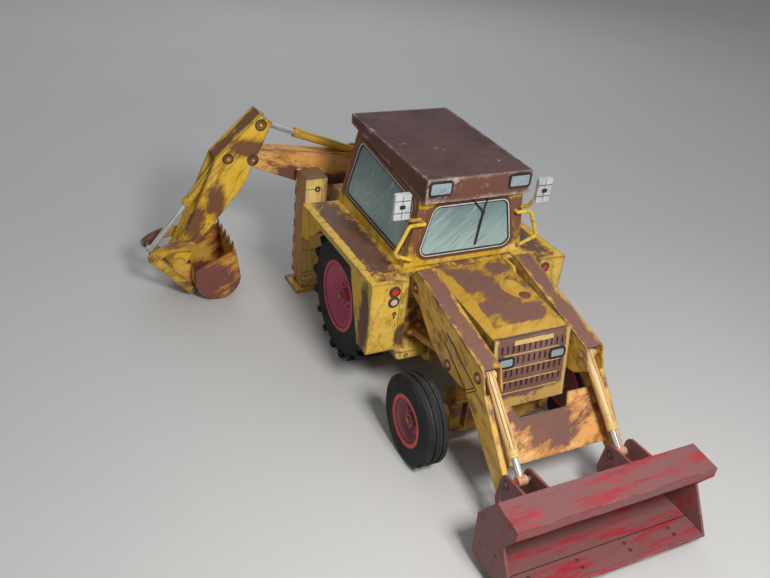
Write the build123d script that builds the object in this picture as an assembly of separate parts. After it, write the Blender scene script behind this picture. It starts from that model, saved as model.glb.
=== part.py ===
from build123d import *
import os
from math import atan2, cos, degrees, hypot, sin

# A 1:25 card model of a weathered backhoe loader: folded card boxes on wooden pins.
# Millimetres. The front points along -Y, the machine's left is +X and Z is up.
# The origin is on the ground under the middle of the rear axle.
# The hoe stands slewed to the machine's right.

# Card, pins and clearances
CARD = 0.8
PIN_RADIUS = 1.0
PIN_PLAY = 0.05
PIN_PROUD = 0.6
GAP = 0.4

# Wheels
WHEELBASE = 76.0
REAR_RADIUS = 29.8
REAR_WIDTH = 15.0
REAR_FACE = 39.7
REAR_RIM = 16.5
REAR_LUGS = 18
LUG_HEIGHT = 2.0
LUG_WIDTH = 3.0
FRONT_RADIUS = 18.5
FRONT_WIDTH = 9.5
FRONT_FACE = 42.3
FRONT_RIM = 10.8
GROOVE_DEPTH = 0.9
GROOVE_WIDTH = 1.0
RIM_EDGE = 1.6
AXLE_RADIUS = 1.5
REAR_DISH = 5.0
FRONT_DISH = 3.5

# Front axle
AXLE_HALF = 17.5
KINGPIN_X = 21.5
KNUCKLE_LENGTH = 5.0
KNUCKLE_DEPTH = 9.0
KNUCKLE_HEIGHT = 12.0
EAR = 2.0
AXLE_TOP = FRONT_RADIUS + KNUCKLE_HEIGHT / 2 + GAP + EAR

# Body, deck and bonnet
GUARD_ROOM = 2.4
DECK_Z = 2 * REAR_RADIUS + GUARD_ROOM
BODY_HALF = 23.5
BODY_FRONT = -39.0
BODY_REAR = 50.0
BODY_LOW = 22.0
HOOD_HALF = 17.1
HOOD_FRONT = -87.5
HOOD_FALL = 3.1
HOOD_FRONT_Z = DECK_Z - HOOD_FALL
SPINE_DEPTH = 3.1
HOOD_LOW = AXLE_TOP + SPINE_DEPTH
BULKHEAD = 3.0
GRILLE_LEAN = 4.5
GRILLE_DEPTH = 1.6
GRILLE_EDGE = 2.2
GRILLE_BANDS = 4
GRILLE_SLOTS = 12
GRILLE_LINE = 0.9
LAMP_WIDTH = 6.4
LAMP_HEIGHT = 3.6
LAMP_CORNER = 1.0
LAMP_PROUD = 0.5
CHASSIS_HALF = 14.0
CHASSIS_LOW = 18.0

# Cab
CAB_HALF = 28.4
CAB_HALF_TOP = 23.4
CAB_FRONT = -35.5
CAB_REAR = 31.5
CAB_REAR_TOP = 27.5
ROOF_HALF = 24.2
ROOF_FRONT = -39.4
ROOF_REAR = 33.0
ROOF_RISE = 41.0
ROOF_FALL = 1.2
ROOF_DEPTH_FRONT = 10.0
ROOF_DEPTH_REAR = 4.4
ROOF_TOP_REAR = DECK_Z + ROOF_RISE
ROOF_TOP_FRONT = ROOF_TOP_REAR - ROOF_FALL
ROOF_LOW_FRONT = ROOF_TOP_FRONT - ROOF_DEPTH_FRONT
ROOF_LOW_REAR = ROOF_TOP_REAR - ROOF_DEPTH_REAR
CAB_TOP_DROP = 7.0
CAB_TOP_Z = ROOF_TOP_REAR - CAB_TOP_DROP
WINDOW_RADIUS = 4.0
WINDOW_BORDER = 5.0
SILL_RISE = 4.0
HEAD_DROP = 3.3
WINDOW_SILL = DECK_Z + SILL_RISE
WINDOW_HEAD = ROOF_LOW_FRONT - HEAD_DROP
PANE = 0.5
ROOF_LAMP_WIDTH = 9.5
ROOF_LAMP_HEIGHT = 5.2
ROOF_LAMP_INSET = 1.2
MIRROR_WIDTH = 7.0
MIRROR_HEIGHT = 11.0
MIRROR_DROP = 19.0
MIRROR_REACH = 8.0
TUBE = 0.8
HANDLE_TOP = 20.2
HANDLE_LOW = 4.6
HANDLE_REACH = 6.5
HANDLE_BEND = 1.8

# Mudguards
GUARD_OUT = 46.3
GUARD_IN = 30.0
GUARD_WALL_ROOM = 6.2
GUARD_WALL = -REAR_RADIUS - GUARD_WALL_ROOM
GUARD_BOX = 9.0
GUARD_FRONT = GUARD_WALL - GUARD_BOX
GUARD_REAR = REAR_RADIUS + GAP + CARD
GUARD_LOW = 29.5
GUARD_SKIRT = 2.5
GUARD_LIP = 16.0
GUARD_LEAN = 12.0
GUARD_TAIL = 22.0
GUARD_TAIL_FOOT = 6.0
GUARD_LAMP_RADIUS = 1.9
GUARD_LAMP_X = 36.1
RED_LAMP_DROP = 4.1
WHITE_LAMP_DROP = 8.8
STEP_DEPTH = 3.4
STEP_TREAD = 9.0

# Loader
ARM_OUT = 27.0
ARM_IN = 19.0
LIMB_WIDTH = 2.4
ARM_PIVOT_Y = -45.5
ARM_PIVOT_Z = 58.5
ARM_END = 4.6
LIFT_PIN_Y = -76.2
LIFT_PIN_Z = 42.1
LIFT_BASE_Y = -43.0
LIFT_BASE_Z = 35.0
TOWER_RIM = 4.0
LIFT_RADIUS = 1.8
LIFT_ROD = 1.1
LIFT_BARREL = 28.0
LIFT_INNER = 6.0
TILT_PIN_Y = -95.9
TILT_PIN_Z = 50.2
TILT_X = 22.2
TILT_RADIUS = 2.0
TILT_ROD = 1.3
TILT_BARREL = 30.0
TILT_INNER = 9.0
BUCKET_PIVOT_Y = -123.5
BUCKET_PIVOT_Z = 16.0
BUCKET_EYE_Y = -124.7
BUCKET_EYE_Z = 25.2
LIMB_END = 3.4
LIMB_KNEE = 6.5
LUG_END = 3.4
PLATE_NEAR = 0.21
PLATE_FAR = 0.74
NOTCH_FAR = 0.34
NOTCH_HALF = 10.6
NOTCH_SLANT = 2.6
BUCKET_HALF = 42.5
BUCKET_WALL = 1.0
BUCKET_FLOOR = 4.8
BUCKET_HEEL_Y = -130.6
BUCKET_EDGE_Y = -156.0
BUCKET_KNEE_Z = 22.4
BUCKET_LIP_BACK_Y = -138.0
BUCKET_LIP_FRONT_Y = -150.5
BUCKET_LIP_Z = 34.4
BUCKET_LIP_DEPTH = 4.0
LUG = 1.0
LUG_GAP = 0.4

# Rear frame and stabilisers
COLUMN_OUT = 36.0
COLUMN_IN = 24.6
COLUMN_FRONT = 54.0
COLUMN_REAR = 67.7
COLUMN_TOP = 63.0
COLUMN_LOW = 6.0
LEG_PLAY = 0.2
PAD_OVERHANG = 3.0
PAD_THICK = 1.5
RAIL_HEIGHT = 7.0
RAIL_LOW_Z = 18.0
RAIL_TOP_Z = 46.0

# Hoe, drawn straight back in its own frame and then slewed round its post
SLEW_X = 12.0
SLEW_Y = 74.2
SLEW_REST = 90.0
POST_RADIUS = 4.4
POST_LOW = 16.0
POST_TOP = 46.0
CARRIAGE_HALF = 8.0
BOOM_HALF = 4.2
CHEEK = 0.9
BOOM_FOOT_S = 12.5
BOOM_FOOT_Z = 41.5
BOOM_BASE_S = 11.0
BOOM_BASE_Z = 24.0
BOOM_EYE_S = 37.0
BOOM_EYE_Z = 47.5
BOOM_PIN_S = 70.3
BOOM_PIN_Z = 69.6
BOOM_BACK = 1.3
HOE_RADIUS = 2.2
HOE_ROD = 1.4
BOOM_BARREL = 23.0
BOOM_INNER = 13.4
BOOM_FOOT_END = 3.0
BOOM_TIP_END = 4.6
BOOM_BELLY = 10.7
BOOM_BELLY_RISE = 8.3
BOOM_EYE_BACK = 13.5
CHANNEL = 30.0
ROD_DRIFT = 2.4
HOE_EYE_HALF = 2.2
DIG_BASE_S = 14.0
DIG_BASE_Z = 67.1
DIG_EYE_S = 66.7
DIG_EYE_Z = 86.9
DIG_BARREL = 36.0
DIG_INNER = 20.5
DIG_EAR = 3.0
DIPPER_HALF = 6.6
HEAD_RIM = 4.9
HEAD_DROP_IN = 13.6
HOE_RAM_PIN_S = 82.6
HOE_RAM_PIN_Z = 71.2
HOE_RAM_BARREL = 31.0
HOE_RAM_INNER = 28.0
LEVER_PIN_S = 101.6
LEVER_PIN_Z = 28.2
LEVER_END_S = 119.7
LEVER_END_Z = 24.0
LEVER_BOW = 2.2
LEVER_WIDTH = 2.7
LINK_WIDTH = 2.1
NOSE_S = 107.4
NOSE_Z = 18.2
NOSE_END = 4.0
EAR_IN = 6.9
LEVER_IN = 8.2
LINK_IN = 9.5
LINK_PIN_S = 102.5
LINK_PIN_Z = 4.8
HOE_BUCKET_HALF = 16.0
BOWL_RADIUS = 11.4
BOWL_BACK = 17.3
BOWL_DROP = 6.5
LIP_S = 81.3
LIP_RISE = 15.3
BACK_RISE = 5.9
TOOTH = 3.5
TEETH = 5


def block(x0, x1, y0, y1, z0, z1):
    """A box between two corners."""
    middle = Pos((x0 + x1) / 2, (y0 + y1) / 2, (z0 + z1) / 2)
    return middle * Box(abs(x1 - x0), abs(y1 - y0), abs(z1 - z0))


def side_plate(points, x0, x1):
    """A plate with its outline in the side view, as (y, z) points, from x0 to x1."""
    face = Plane.YZ * make_face(Polyline(*points, close=True))
    return Pos(x0, 0, 0) * extrude(face, amount=x1 - x0, dir=(1, 0, 0))


def cross_pin(y, z, radius, x0, x1):
    """A round pin along X."""
    return Pos((x0 + x1) / 2, y, z) * Rot(0, 90, 0) * Cylinder(radius, abs(x1 - x0))


def side_rod(start, end, radius, x, cut_start, cut_end):
    """A round bar in the side view between two (y, z) points, cut short at both ends."""
    length = hypot(end[0] - start[0], end[1] - start[1])
    tilt = degrees(atan2(end[1] - start[1], end[0] - start[0]))
    bar = Pos(0, (cut_start + length - cut_end) / 2, 0) * Rot(90, 0, 0)
    bar = bar * Cylinder(radius, length - cut_start - cut_end)
    return Pos(x, *start) * Rot(tilt, 0, 0) * bar


def on_both(shape):
    """The shape with its mirror image on the other side of the machine."""
    return Compound(children=[shape, mirror(shape, about=Plane.YZ)])


def at_length(start, end, length):
    """The point at a given distance from start towards end."""
    share = length / hypot(end[0] - start[0], end[1] - start[1])
    return (start[0] + share * (end[0] - start[0]), start[1] + share * (end[1] - start[1]))


def ram_barrel(base, eye, x, radius, rod, length):
    """A ram's barrel on its base pin, bored for the rod."""
    end = at_length(base, eye, length)
    barrel = side_rod(base, end, radius, x, 0, 0)
    barrel += cross_pin(*base, radius, x - radius, x + radius)
    barrel -= side_rod(base, end, rod + PIN_PLAY, x, radius + CARD, -GAP)
    return barrel - cross_pin(*base, PIN_RADIUS + PIN_PLAY, x - 2 * radius, x + 2 * radius)


def ram_rod(base, eye, x, radius, inner, eye_half):
    """A ram's rod from inside its barrel to the eye between its plates."""
    rod = side_rod(base, eye, radius, x, inner, 0)
    return rod + cross_pin(*eye, PIN_RADIUS + CARD, x - eye_half, x + eye_half)


# Wheels
def revolved(points, x_centre, y, z):
    """A ring turned about a cross axle from (x, radius) points."""
    face = make_face(Polyline(*points, close=True))
    ring = revolve(face, axis=Axis.X)
    return Pos(x_centre, y, z) * ring


def rear_tyre(side):
    """A tractor tyre with slanted lugs that meet in a chevron."""
    half = REAR_WIDTH / 2
    tread = REAR_RADIUS - LUG_HEIGHT
    shoulder = half / 3
    profile = [
        (-half, REAR_RIM), (half, REAR_RIM), (half, tread - shoulder),
        (half - shoulder / 2, tread), (-half + shoulder / 2, tread), (-half, tread - shoulder),
    ]
    tyre = revolved(profile, 0, 0, 0)
    lug_length = half + LUG_WIDTH / 2
    bar = Pos(half / 2, 0, tread + LUG_HEIGHT / 2 - CARD / 2)
    bar = bar * Rot(0, 0, 30) * Box(lug_length, LUG_WIDTH, LUG_HEIGHT + CARD)
    bar = bar & Cylinder(2 * REAR_RADIUS, 4 * REAR_RADIUS)
    bar = bar & block(-CARD, half, -REAR_RADIUS, REAR_RADIUS, 0, 2 * REAR_RADIUS)
    bar = bar & (Rot(0, 90, 0) * Cylinder(REAR_RADIUS, REAR_WIDTH))
    step = 360 / REAR_LUGS
    lugs = []
    for i in range(REAR_LUGS):
        lugs.append(Rot(i * step, 0, 0) * bar)
        lugs.append(Rot((i + 0.5) * step, 0, 0) * mirror(bar, about=Plane.YZ))
    tyre = tyre.fuse(*lugs)
    return Pos(side * (REAR_FACE - half), 0, REAR_RADIUS) * tyre


def front_tyre(side):
    """A front tyre with ribs round its tread."""
    half = FRONT_WIDTH / 2
    shoulder = half / 3
    profile = [
        (-half, FRONT_RIM), (half, FRONT_RIM), (half, FRONT_RADIUS - shoulder),
        (half - shoulder / 2, FRONT_RADIUS), (-half + shoulder / 2, FRONT_RADIUS),
        (-half, FRONT_RADIUS - shoulder),
    ]
    tyre = revolved(profile, 0, 0, 0)
    for place in (-half / 3, half / 3):
        groove = Rot(0, 90, 0) * Cylinder(2 * FRONT_RADIUS, GROOVE_WIDTH)
        groove -= Rot(0, 90, 0) * Cylinder(FRONT_RADIUS - GROOVE_DEPTH, GROOVE_WIDTH)
        tyre -= Pos(place, 0, 0) * groove
    return Pos(side * (FRONT_FACE - half), -WHEELBASE, FRONT_RADIUS) * tyre


def rim(side, radius, width, face, y, z, dish):
    """A dished card wheel disc with a raised edge, bored for the axle."""
    half = width / 2
    hub = AXLE_RADIUS + 2 * CARD
    bore = AXLE_RADIUS + PIN_PLAY
    profile = [
        (-half, bore), (-half, radius), (half, radius), (half, radius - RIM_EDGE),
        (half - dish, hub + dish), (half - dish, hub), (half - dish / 2, hub),
        (half - dish / 2, bore),
    ]
    disc = revolved(profile, 0, 0, 0)
    if side < 0:
        disc = mirror(disc, about=Plane.YZ)
    return Pos(side * (face - half), y, z) * disc


# Front axle and steering
def front_axle():
    """The beam with its pivot block and the forked ends that hold the kingpins."""
    y0 = -WHEELBASE - KNUCKLE_DEPTH / 2
    y1 = -WHEELBASE + KNUCKLE_DEPTH / 2
    z0 = FRONT_RADIUS - KNUCKLE_HEIGHT / 2 - GAP
    z1 = FRONT_RADIUS + KNUCKLE_HEIGHT / 2 + GAP
    ear_end = KINGPIN_X + KNUCKLE_LENGTH / 2
    beam = block(-AXLE_HALF, AXLE_HALF, y0, y1, z0, z1)
    for side in (-1, 1):
        beam += block(0, side * ear_end, y0, y1, z1, z1 + EAR)
        beam += block(0, side * ear_end, y0, y1, z0 - EAR, z0)
        pin = Pos(side * KINGPIN_X, -WHEELBASE, (z0 + z1) / 2)
        beam += pin * Cylinder(PIN_RADIUS, z1 - z0 + 2 * EAR)
    return beam


def knuckle(side):
    """The steering block on its kingpin with the stub that carries the front wheel."""
    inner = KINGPIN_X - KNUCKLE_LENGTH / 2
    outer = KINGPIN_X + KNUCKLE_LENGTH / 2
    y0 = -WHEELBASE - KNUCKLE_DEPTH / 2
    y1 = -WHEELBASE + KNUCKLE_DEPTH / 2
    z0 = FRONT_RADIUS - KNUCKLE_HEIGHT / 2
    z1 = FRONT_RADIUS + KNUCKLE_HEIGHT / 2
    body = block(side * inner, side * outer, y0, y1, z0, z1)
    body = fillet(body.edges().filter_by(Axis.Z), KNUCKLE_LENGTH / 3)
    stub = cross_pin(-WHEELBASE, FRONT_RADIUS, AXLE_RADIUS, side * outer, side * (FRONT_FACE - CARD))
    collar = cross_pin(
        -WHEELBASE, FRONT_RADIUS, 2 * AXLE_RADIUS, side * outer, side * (FRONT_FACE - FRONT_WIDTH - GAP)
    )
    hole = Pos(side * KINGPIN_X, -WHEELBASE, FRONT_RADIUS) * Cylinder(
        PIN_RADIUS + PIN_PLAY, 2 * KNUCKLE_HEIGHT
    )
    return body + stub + collar - hole


# Chassis and body
HOOD_LOW_Y = HOOD_FRONT - GRILLE_LEAN


def chassis_frame():
    """The spine under the bonnet, which rises over the front axle."""
    outline = [
        (BODY_FRONT, CHASSIS_LOW), (BODY_FRONT - FRONT_RADIUS / 2, CHASSIS_LOW),
        (-WHEELBASE + KNUCKLE_DEPTH, AXLE_TOP), (HOOD_LOW_Y + GRILLE_LEAN, AXLE_TOP),
        (HOOD_LOW_Y + GRILLE_LEAN, HOOD_LOW), (BODY_FRONT, HOOD_LOW),
    ]
    return side_plate(outline, -CHASSIS_HALF, CHASSIS_HALF)


def rear_body():
    """The box under the cab, with the bulkhead behind the loader and the hole for the rear axle."""
    body = block(-BODY_HALF, BODY_HALF, BODY_FRONT, BODY_REAR, BODY_LOW, DECK_Z - CARD)
    body += block(-GUARD_IN, GUARD_IN, BODY_FRONT, BODY_FRONT + BULKHEAD, GUARD_LOW, DECK_Z - CARD)
    body -= cross_pin(0, REAR_RADIUS, AXLE_RADIUS, -CAB_HALF, CAB_HALF)
    return body


def hood():
    """The bonnet box, which slopes down to the grille."""
    outline = [
        (BODY_FRONT, DECK_Z), (HOOD_FRONT, HOOD_FRONT_Z), (HOOD_LOW_Y, HOOD_LOW), (BODY_FRONT, HOOD_LOW),
    ]
    return side_plate(outline, -HOOD_HALF, HOOD_HALF)


def on_grille(shape):
    """Places a shape drawn on an upright front plate onto the leaning grille."""
    lean = degrees(atan2(GRILLE_LEAN, HOOD_FRONT_Z - HOOD_LOW))
    return Pos(0, HOOD_LOW_Y, HOOD_LOW) * Rot(-lean, 0, 0) * shape


GRILLE_HEIGHT = hypot(GRILLE_LEAN, HOOD_FRONT_Z - HOOD_LOW)
GRILLE_BAND = (GRILLE_HEIGHT - 2 * GRILLE_EDGE) / (GRILLE_BANDS + 1)
LAMP_X = HOOD_HALF - GRILLE_EDGE - LAMP_WIDTH / 2
LAMP_Z = GRILLE_HEIGHT - GRILLE_EDGE - 1.5 * GRILLE_BAND


def lamp_outline(depth):
    """A rounded lamp drawn on the upright front plate, from the panel's face inwards by a depth."""
    face = Plane.XZ * RectangleRounded(LAMP_WIDTH, LAMP_HEIGHT, LAMP_CORNER)
    return Pos(LAMP_X, -GRILLE_DEPTH - LAMP_PROUD, LAMP_Z) * extrude(face, amount=depth, dir=(0, 1, 0))


def grille():
    """The front panel: bands of short upright louvres between flat lines, with two lamp recesses."""
    panel = block(-HOOD_HALF, HOOD_HALF, -GRILLE_DEPTH, 0, 0, GRILLE_HEIGHT)
    pitch = 2 * (HOOD_HALF - GRILLE_EDGE) / GRILLE_SLOTS
    for band in range(GRILLE_BANDS):
        z1 = GRILLE_HEIGHT - GRILLE_EDGE - band * GRILLE_BAND - GRILLE_LINE
        z0 = z1 - GRILLE_BAND + 2 * GRILLE_LINE
        for i in range(GRILLE_SLOTS):
            x = -HOOD_HALF + GRILLE_EDGE + (i + 0.5) * pitch
            near_lamp = abs(abs(x) - LAMP_X) < LAMP_WIDTH / 2 + pitch / 2
            if band == 1 and near_lamp:
                continue
            panel -= block(x - pitch / 5, x + pitch / 5, -GRILLE_DEPTH, -GRILLE_DEPTH / 2, z0, z1)
    recess = lamp_outline(LAMP_PROUD + GRILLE_DEPTH / 2)
    panel -= recess
    panel -= mirror(recess, about=Plane.YZ)
    return on_grille(panel)


def headlamps():
    """Two rounded lamps seated in the grille's recesses."""
    return on_both(on_grille(lamp_outline(LAMP_PROUD + GRILLE_DEPTH / 2)))


PIVOT = (ARM_PIVOT_Y, ARM_PIVOT_Z)
LIFT_PIN = (LIFT_PIN_Y, LIFT_PIN_Z)
LIFT_BASE = (LIFT_BASE_Y, LIFT_BASE_Z)
TILT_PIN = (TILT_PIN_Y, TILT_PIN_Z)
BUCKET_PIVOT = (BUCKET_PIVOT_Y, BUCKET_PIVOT_Z)
BUCKET_EYE = (BUCKET_EYE_Y, BUCKET_EYE_Z)
LIFT_X = (ARM_IN + ARM_OUT) / 2


def loader_tower():
    """The plates beside the bonnet that hold the loader pivots and the lift rams' base pins."""
    x0 = HOOD_HALF
    x1 = ARM_IN - GAP
    y, z = PIVOT
    foot = LIFT_BASE_Z - 3.25 * TOWER_RIM
    outline = [
        (BODY_FRONT, foot), (LIFT_BASE_Y - TOWER_RIM, foot), (y - TOWER_RIM, z),
        (y - TOWER_RIM / 2, z + TOWER_RIM), (BODY_FRONT, z + TOWER_RIM),
    ]
    plate = side_plate(outline, x0, x1)
    pivot = cross_pin(*PIVOT, PIN_RADIUS, x1, ARM_OUT + PIN_PROUD)
    base = cross_pin(*LIFT_BASE, PIN_RADIUS, x1, ARM_OUT)
    return on_both(plate + pivot + base)


# Cab
def frustum(inset, top):
    """The cab's outer shape, narrowing upwards, shrunk by an inset on every side."""
    rise = (top - DECK_Z) / (CAB_TOP_Z - DECK_Z)
    half_top = CAB_HALF + (CAB_HALF_TOP - CAB_HALF) * rise
    rear_top = CAB_REAR + (CAB_REAR_TOP - CAB_REAR) * rise
    low = Pos(0, (CAB_FRONT + CAB_REAR) / 2, DECK_Z) * Rectangle(
        2 * (CAB_HALF - inset), CAB_REAR - CAB_FRONT - 2 * inset
    )
    high = Pos(0, (CAB_FRONT + rear_top) / 2, top) * Rectangle(
        2 * (half_top - inset), rear_top - CAB_FRONT - 2 * inset
    )
    return loft([low, high])


def roof_space():
    """All the room above the slanted underside of the roof."""
    slope = (ROOF_LOW_REAR - ROOF_LOW_FRONT) / (ROOF_REAR - ROOF_FRONT)
    reach = ROOF_REAR - ROOF_FRONT
    return side_plate(
        [
            (ROOF_FRONT - reach, ROOF_LOW_FRONT - slope * reach),
            (ROOF_REAR + reach, ROOF_LOW_REAR + slope * reach),
            (ROOF_REAR + reach, 2 * ROOF_TOP_REAR), (ROOF_FRONT - reach, 2 * ROOF_TOP_REAR),
        ],
        -2 * CAB_HALF, 2 * CAB_HALF,
    )


def rounded(points, radius):
    """A face with rounded corners."""
    face = make_face(Polyline(*points, close=True))
    return fillet(face.vertices(), radius)


def half_width(z):
    """The cab's half width at a height."""
    return CAB_HALF + (CAB_HALF_TOP - CAB_HALF) * (z - DECK_Z) / (CAB_TOP_Z - DECK_Z)


def front_opening(play):
    """The windscreen's opening as a prism through the front wall."""
    low = half_width(WINDOW_SILL) - WINDOW_BORDER
    high = half_width(WINDOW_HEAD) - 1.4 * WINDOW_BORDER
    points = [(-low, WINDOW_SILL), (low, WINDOW_SILL), (high, WINDOW_HEAD), (-high, WINDOW_HEAD)]
    face = Plane.XZ * offset(rounded(points, WINDOW_RADIUS), amount=-play)
    return Pos(0, CAB_FRONT - CARD, 0) * extrude(face, amount=CAB_HALF, dir=(0, 1, 0))


def side_opening(play):
    """The side window's opening, leaning with its pillars, as a prism through both side walls."""
    front_low = CAB_FRONT + 1.2 * WINDOW_BORDER
    points = [
        (front_low, WINDOW_SILL), (CAB_REAR - WINDOW_BORDER, WINDOW_SILL + SILL_RISE / 2),
        (CAB_REAR_TOP - 1.2 * WINDOW_BORDER, ROOF_LOW_REAR - 1.2 * HEAD_DROP),
        (CAB_FRONT + 0.6 * WINDOW_BORDER, WINDOW_HEAD + 0.3 * HEAD_DROP),
    ]
    face = Plane.YZ * offset(rounded(points, WINDOW_RADIUS), amount=-play)
    return Pos(-2 * CAB_HALF, 0, 0) * extrude(face, amount=4 * CAB_HALF, dir=(1, 0, 0))


def rear_opening(play):
    """The rear window's opening as a prism through the back wall."""
    low = half_width(WINDOW_SILL) - WINDOW_BORDER
    high = half_width(WINDOW_HEAD) - WINDOW_BORDER
    points = [(-low, WINDOW_SILL), (low, WINDOW_SILL), (high, WINDOW_HEAD), (-high, WINDOW_HEAD)]
    face = Plane.XZ * offset(rounded(points, WINDOW_RADIUS), amount=-play)
    return extrude(face, amount=2 * CAB_REAR, dir=(0, 1, 0))


def cab_shell():
    """The folded cab walls with the window openings cut."""
    top = ROOF_TOP_REAR
    shell = frustum(0, top) - frustum(CARD, top) - roof_space()
    return shell - front_opening(0) - side_opening(0) - rear_opening(0)


def panes(opening):
    """The printed panes that fill an opening, a little behind the wall's outer face."""
    top = ROOF_TOP_REAR
    layer = frustum(CARD - PANE, top) - frustum(CARD, top) - roof_space()
    return layer & opening


def roof_lamp():
    """One of the roof's lamps, seated by half of its depth in the deep front edge."""
    face = Plane.XZ * RectangleRounded(ROOF_LAMP_WIDTH, ROOF_LAMP_HEIGHT, LAMP_CORNER)
    x = ROOF_HALF - ROOF_LAMP_INSET - ROOF_LAMP_WIDTH / 2
    z = ROOF_TOP_FRONT - ROOF_LAMP_INSET - ROOF_LAMP_HEIGHT / 2
    return Pos(x, ROOF_FRONT - LAMP_PROUD, z) * extrude(face, amount=2 * LAMP_PROUD, dir=(0, 1, 0))


def roof():
    """The wedge-shaped roof, deep at the front, with recesses for its two lamps."""
    outline = [
        (ROOF_FRONT, ROOF_LOW_FRONT), (ROOF_FRONT, ROOF_TOP_FRONT),
        (ROOF_REAR, ROOF_TOP_REAR), (ROOF_REAR, ROOF_LOW_REAR),
    ]
    return side_plate(outline, -ROOF_HALF, ROOF_HALF) - on_both(roof_lamp())


def bent_tube(points, y):
    """A round tube in the front view along (x, z) points, bent at its corners."""
    path = Pos(0, y, 0) * (Plane.XZ * FilletPolyline(*points, radius=HANDLE_BEND))
    return sweep(Plane(origin=path @ 0, z_dir=path % 0) * Circle(TUBE), path=path)


def mirrors():
    """A mirror on a bent arm at each front pillar."""
    z = ROOF_TOP_REAR - MIRROR_DROP
    root = half_width(z)
    y = CAB_FRONT - TUBE
    middle = root + MIRROR_REACH
    arm = bent_tube([(root - 2 * CARD, z), (root + MIRROR_REACH / 3, z), (middle, z + MIRROR_HEIGHT / 2)], y)
    head = block(
        middle - MIRROR_WIDTH / 2, middle + MIRROR_WIDTH / 2, y - TUBE - CARD, y,
        z + 2 * CARD, z + 2 * CARD + MIRROR_HEIGHT,
    )
    head = fillet(head.edges().filter_by(Axis.Y), CARD)
    return on_both(arm + head)


def grab_handle():
    """A bent tube handle on two short feet at each front pillar."""
    z1 = DECK_Z + HANDLE_TOP
    z0 = DECK_Z + HANDLE_LOW
    y = CAB_FRONT - 2.5 * TUBE
    top = half_width(z1)
    low = half_width(z0)
    points = [
        (top - HANDLE_REACH / 2, z1), (top + HANDLE_REACH / 2, z1),
        (low + HANDLE_REACH, z0 + HANDLE_REACH / 2), (low - 2 * TUBE, z0),
    ]
    tube = bent_tube(points, y)
    for x, z in (points[0], points[-1]):
        foot = Pos(x, (CAB_FRONT + y) / 2, z) * Rot(90, 0, 0) * Cylinder(TUBE, CAB_FRONT - y)
        tube += foot + Pos(x, y, z) * Sphere(TUBE)
    return on_both(tube)


# Mudguards
def mudguard():
    """The folded guard over a rear wheel with the closed box in front of it."""
    top = DECK_Z
    lip = top - GUARD_LIP
    edge = top - GUARD_SKIRT
    guard = block(BODY_HALF, GUARD_OUT, BODY_FRONT, GUARD_REAR, top - CARD, top)
    guard += block(GUARD_IN, GUARD_OUT, GUARD_FRONT, BODY_FRONT, top - CARD, top)
    skirt = [
        (GUARD_FRONT, GUARD_LOW), (GUARD_WALL, GUARD_LOW), (GUARD_WALL + GUARD_LEAN, edge),
        (GUARD_REAR - GUARD_TAIL, edge), (GUARD_REAR - GUARD_TAIL_FOOT, lip), (GUARD_REAR, lip),
        (GUARD_REAR, top - CARD), (GUARD_FRONT, top - CARD),
    ]
    guard += side_plate(skirt, GUARD_OUT - CARD, GUARD_OUT)
    guard += block(GUARD_IN, GUARD_OUT, GUARD_FRONT, GUARD_FRONT + CARD, GUARD_LOW, top)
    guard += block(GUARD_IN, GUARD_IN + CARD, GUARD_FRONT, GUARD_WALL, GUARD_LOW, top)
    guard += block(GUARD_IN, GUARD_OUT, GUARD_FRONT, GUARD_WALL, GUARD_LOW, GUARD_LOW + CARD)
    guard += block(BODY_HALF, GUARD_OUT, GUARD_REAR - CARD, GUARD_REAR, lip, top)
    liner = [
        (GUARD_WALL - CARD, GUARD_LOW), (GUARD_WALL, GUARD_LOW),
        (GUARD_WALL + GUARD_LEAN, top - CARD), (GUARD_WALL + GUARD_LEAN - CARD, top - CARD),
    ]
    guard += side_plate(liner, GUARD_IN, GUARD_OUT)
    return guard


def cab_step():
    """The step in front of the bulkhead, under the guard box, with rounded front corners."""
    step = block(
        ARM_IN, GUARD_IN + STEP_DEPTH, BODY_FRONT - STEP_TREAD, BODY_FRONT,
        GUARD_LOW - STEP_DEPTH, GUARD_LOW,
    )
    corners = step.edges().filter_by(Axis.Z).group_by(Axis.Y)[0]
    return fillet(corners, STEP_DEPTH / 2)


def guard_lamps(drop):
    """A round lamp on the front of each guard box, at a depth below the deck."""
    lamp = Pos(GUARD_LAMP_X, GUARD_FRONT - LAMP_PROUD / 2, DECK_Z - drop) * Rot(90, 0, 0)
    return on_both(lamp * Cylinder(GUARD_LAMP_RADIUS, LAMP_PROUD))


# Loader
def arm_outline():
    """The side view of the arm's deep upper part, from its pivot to the knee."""
    y, z = PIVOT
    ky, kz = LIFT_PIN
    ty, tz = TILT_PIN
    return [
        (y + ARM_END, z - 3), (y + ARM_END, z + 3), (y + 1, z + 7.5), (ty - 2.2, tz + 4.2),
        (ty - 5.4, tz - 4.2), (ty + 1, tz - 9), (ty + 10, kz - 2.8), (ky + 3.7, kz - 2.8),
        (y - 15.5, z - 14.4), (y - 5, z - 6),
    ]


def limb_outline():
    """The side view of the slim lower limb, from the knee to the bucket pivot."""
    ty, tz = TILT_PIN
    knee = (ty + LIMB_KNEE, LIFT_PIN_Z - 2.4)
    front = (ty - 5.4, tz - 4.2)
    slope = atan2(knee[1] - BUCKET_PIVOT_Z, knee[0] - BUCKET_PIVOT_Y)
    reach_y = LIMB_END * sin(slope)
    reach_z = LIMB_END * cos(slope)
    return [
        knee, front, (BUCKET_PIVOT_Y - reach_y, BUCKET_PIVOT_Z + reach_z),
        (BUCKET_PIVOT_Y + reach_y, BUCKET_PIVOT_Z - reach_z),
    ]


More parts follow.
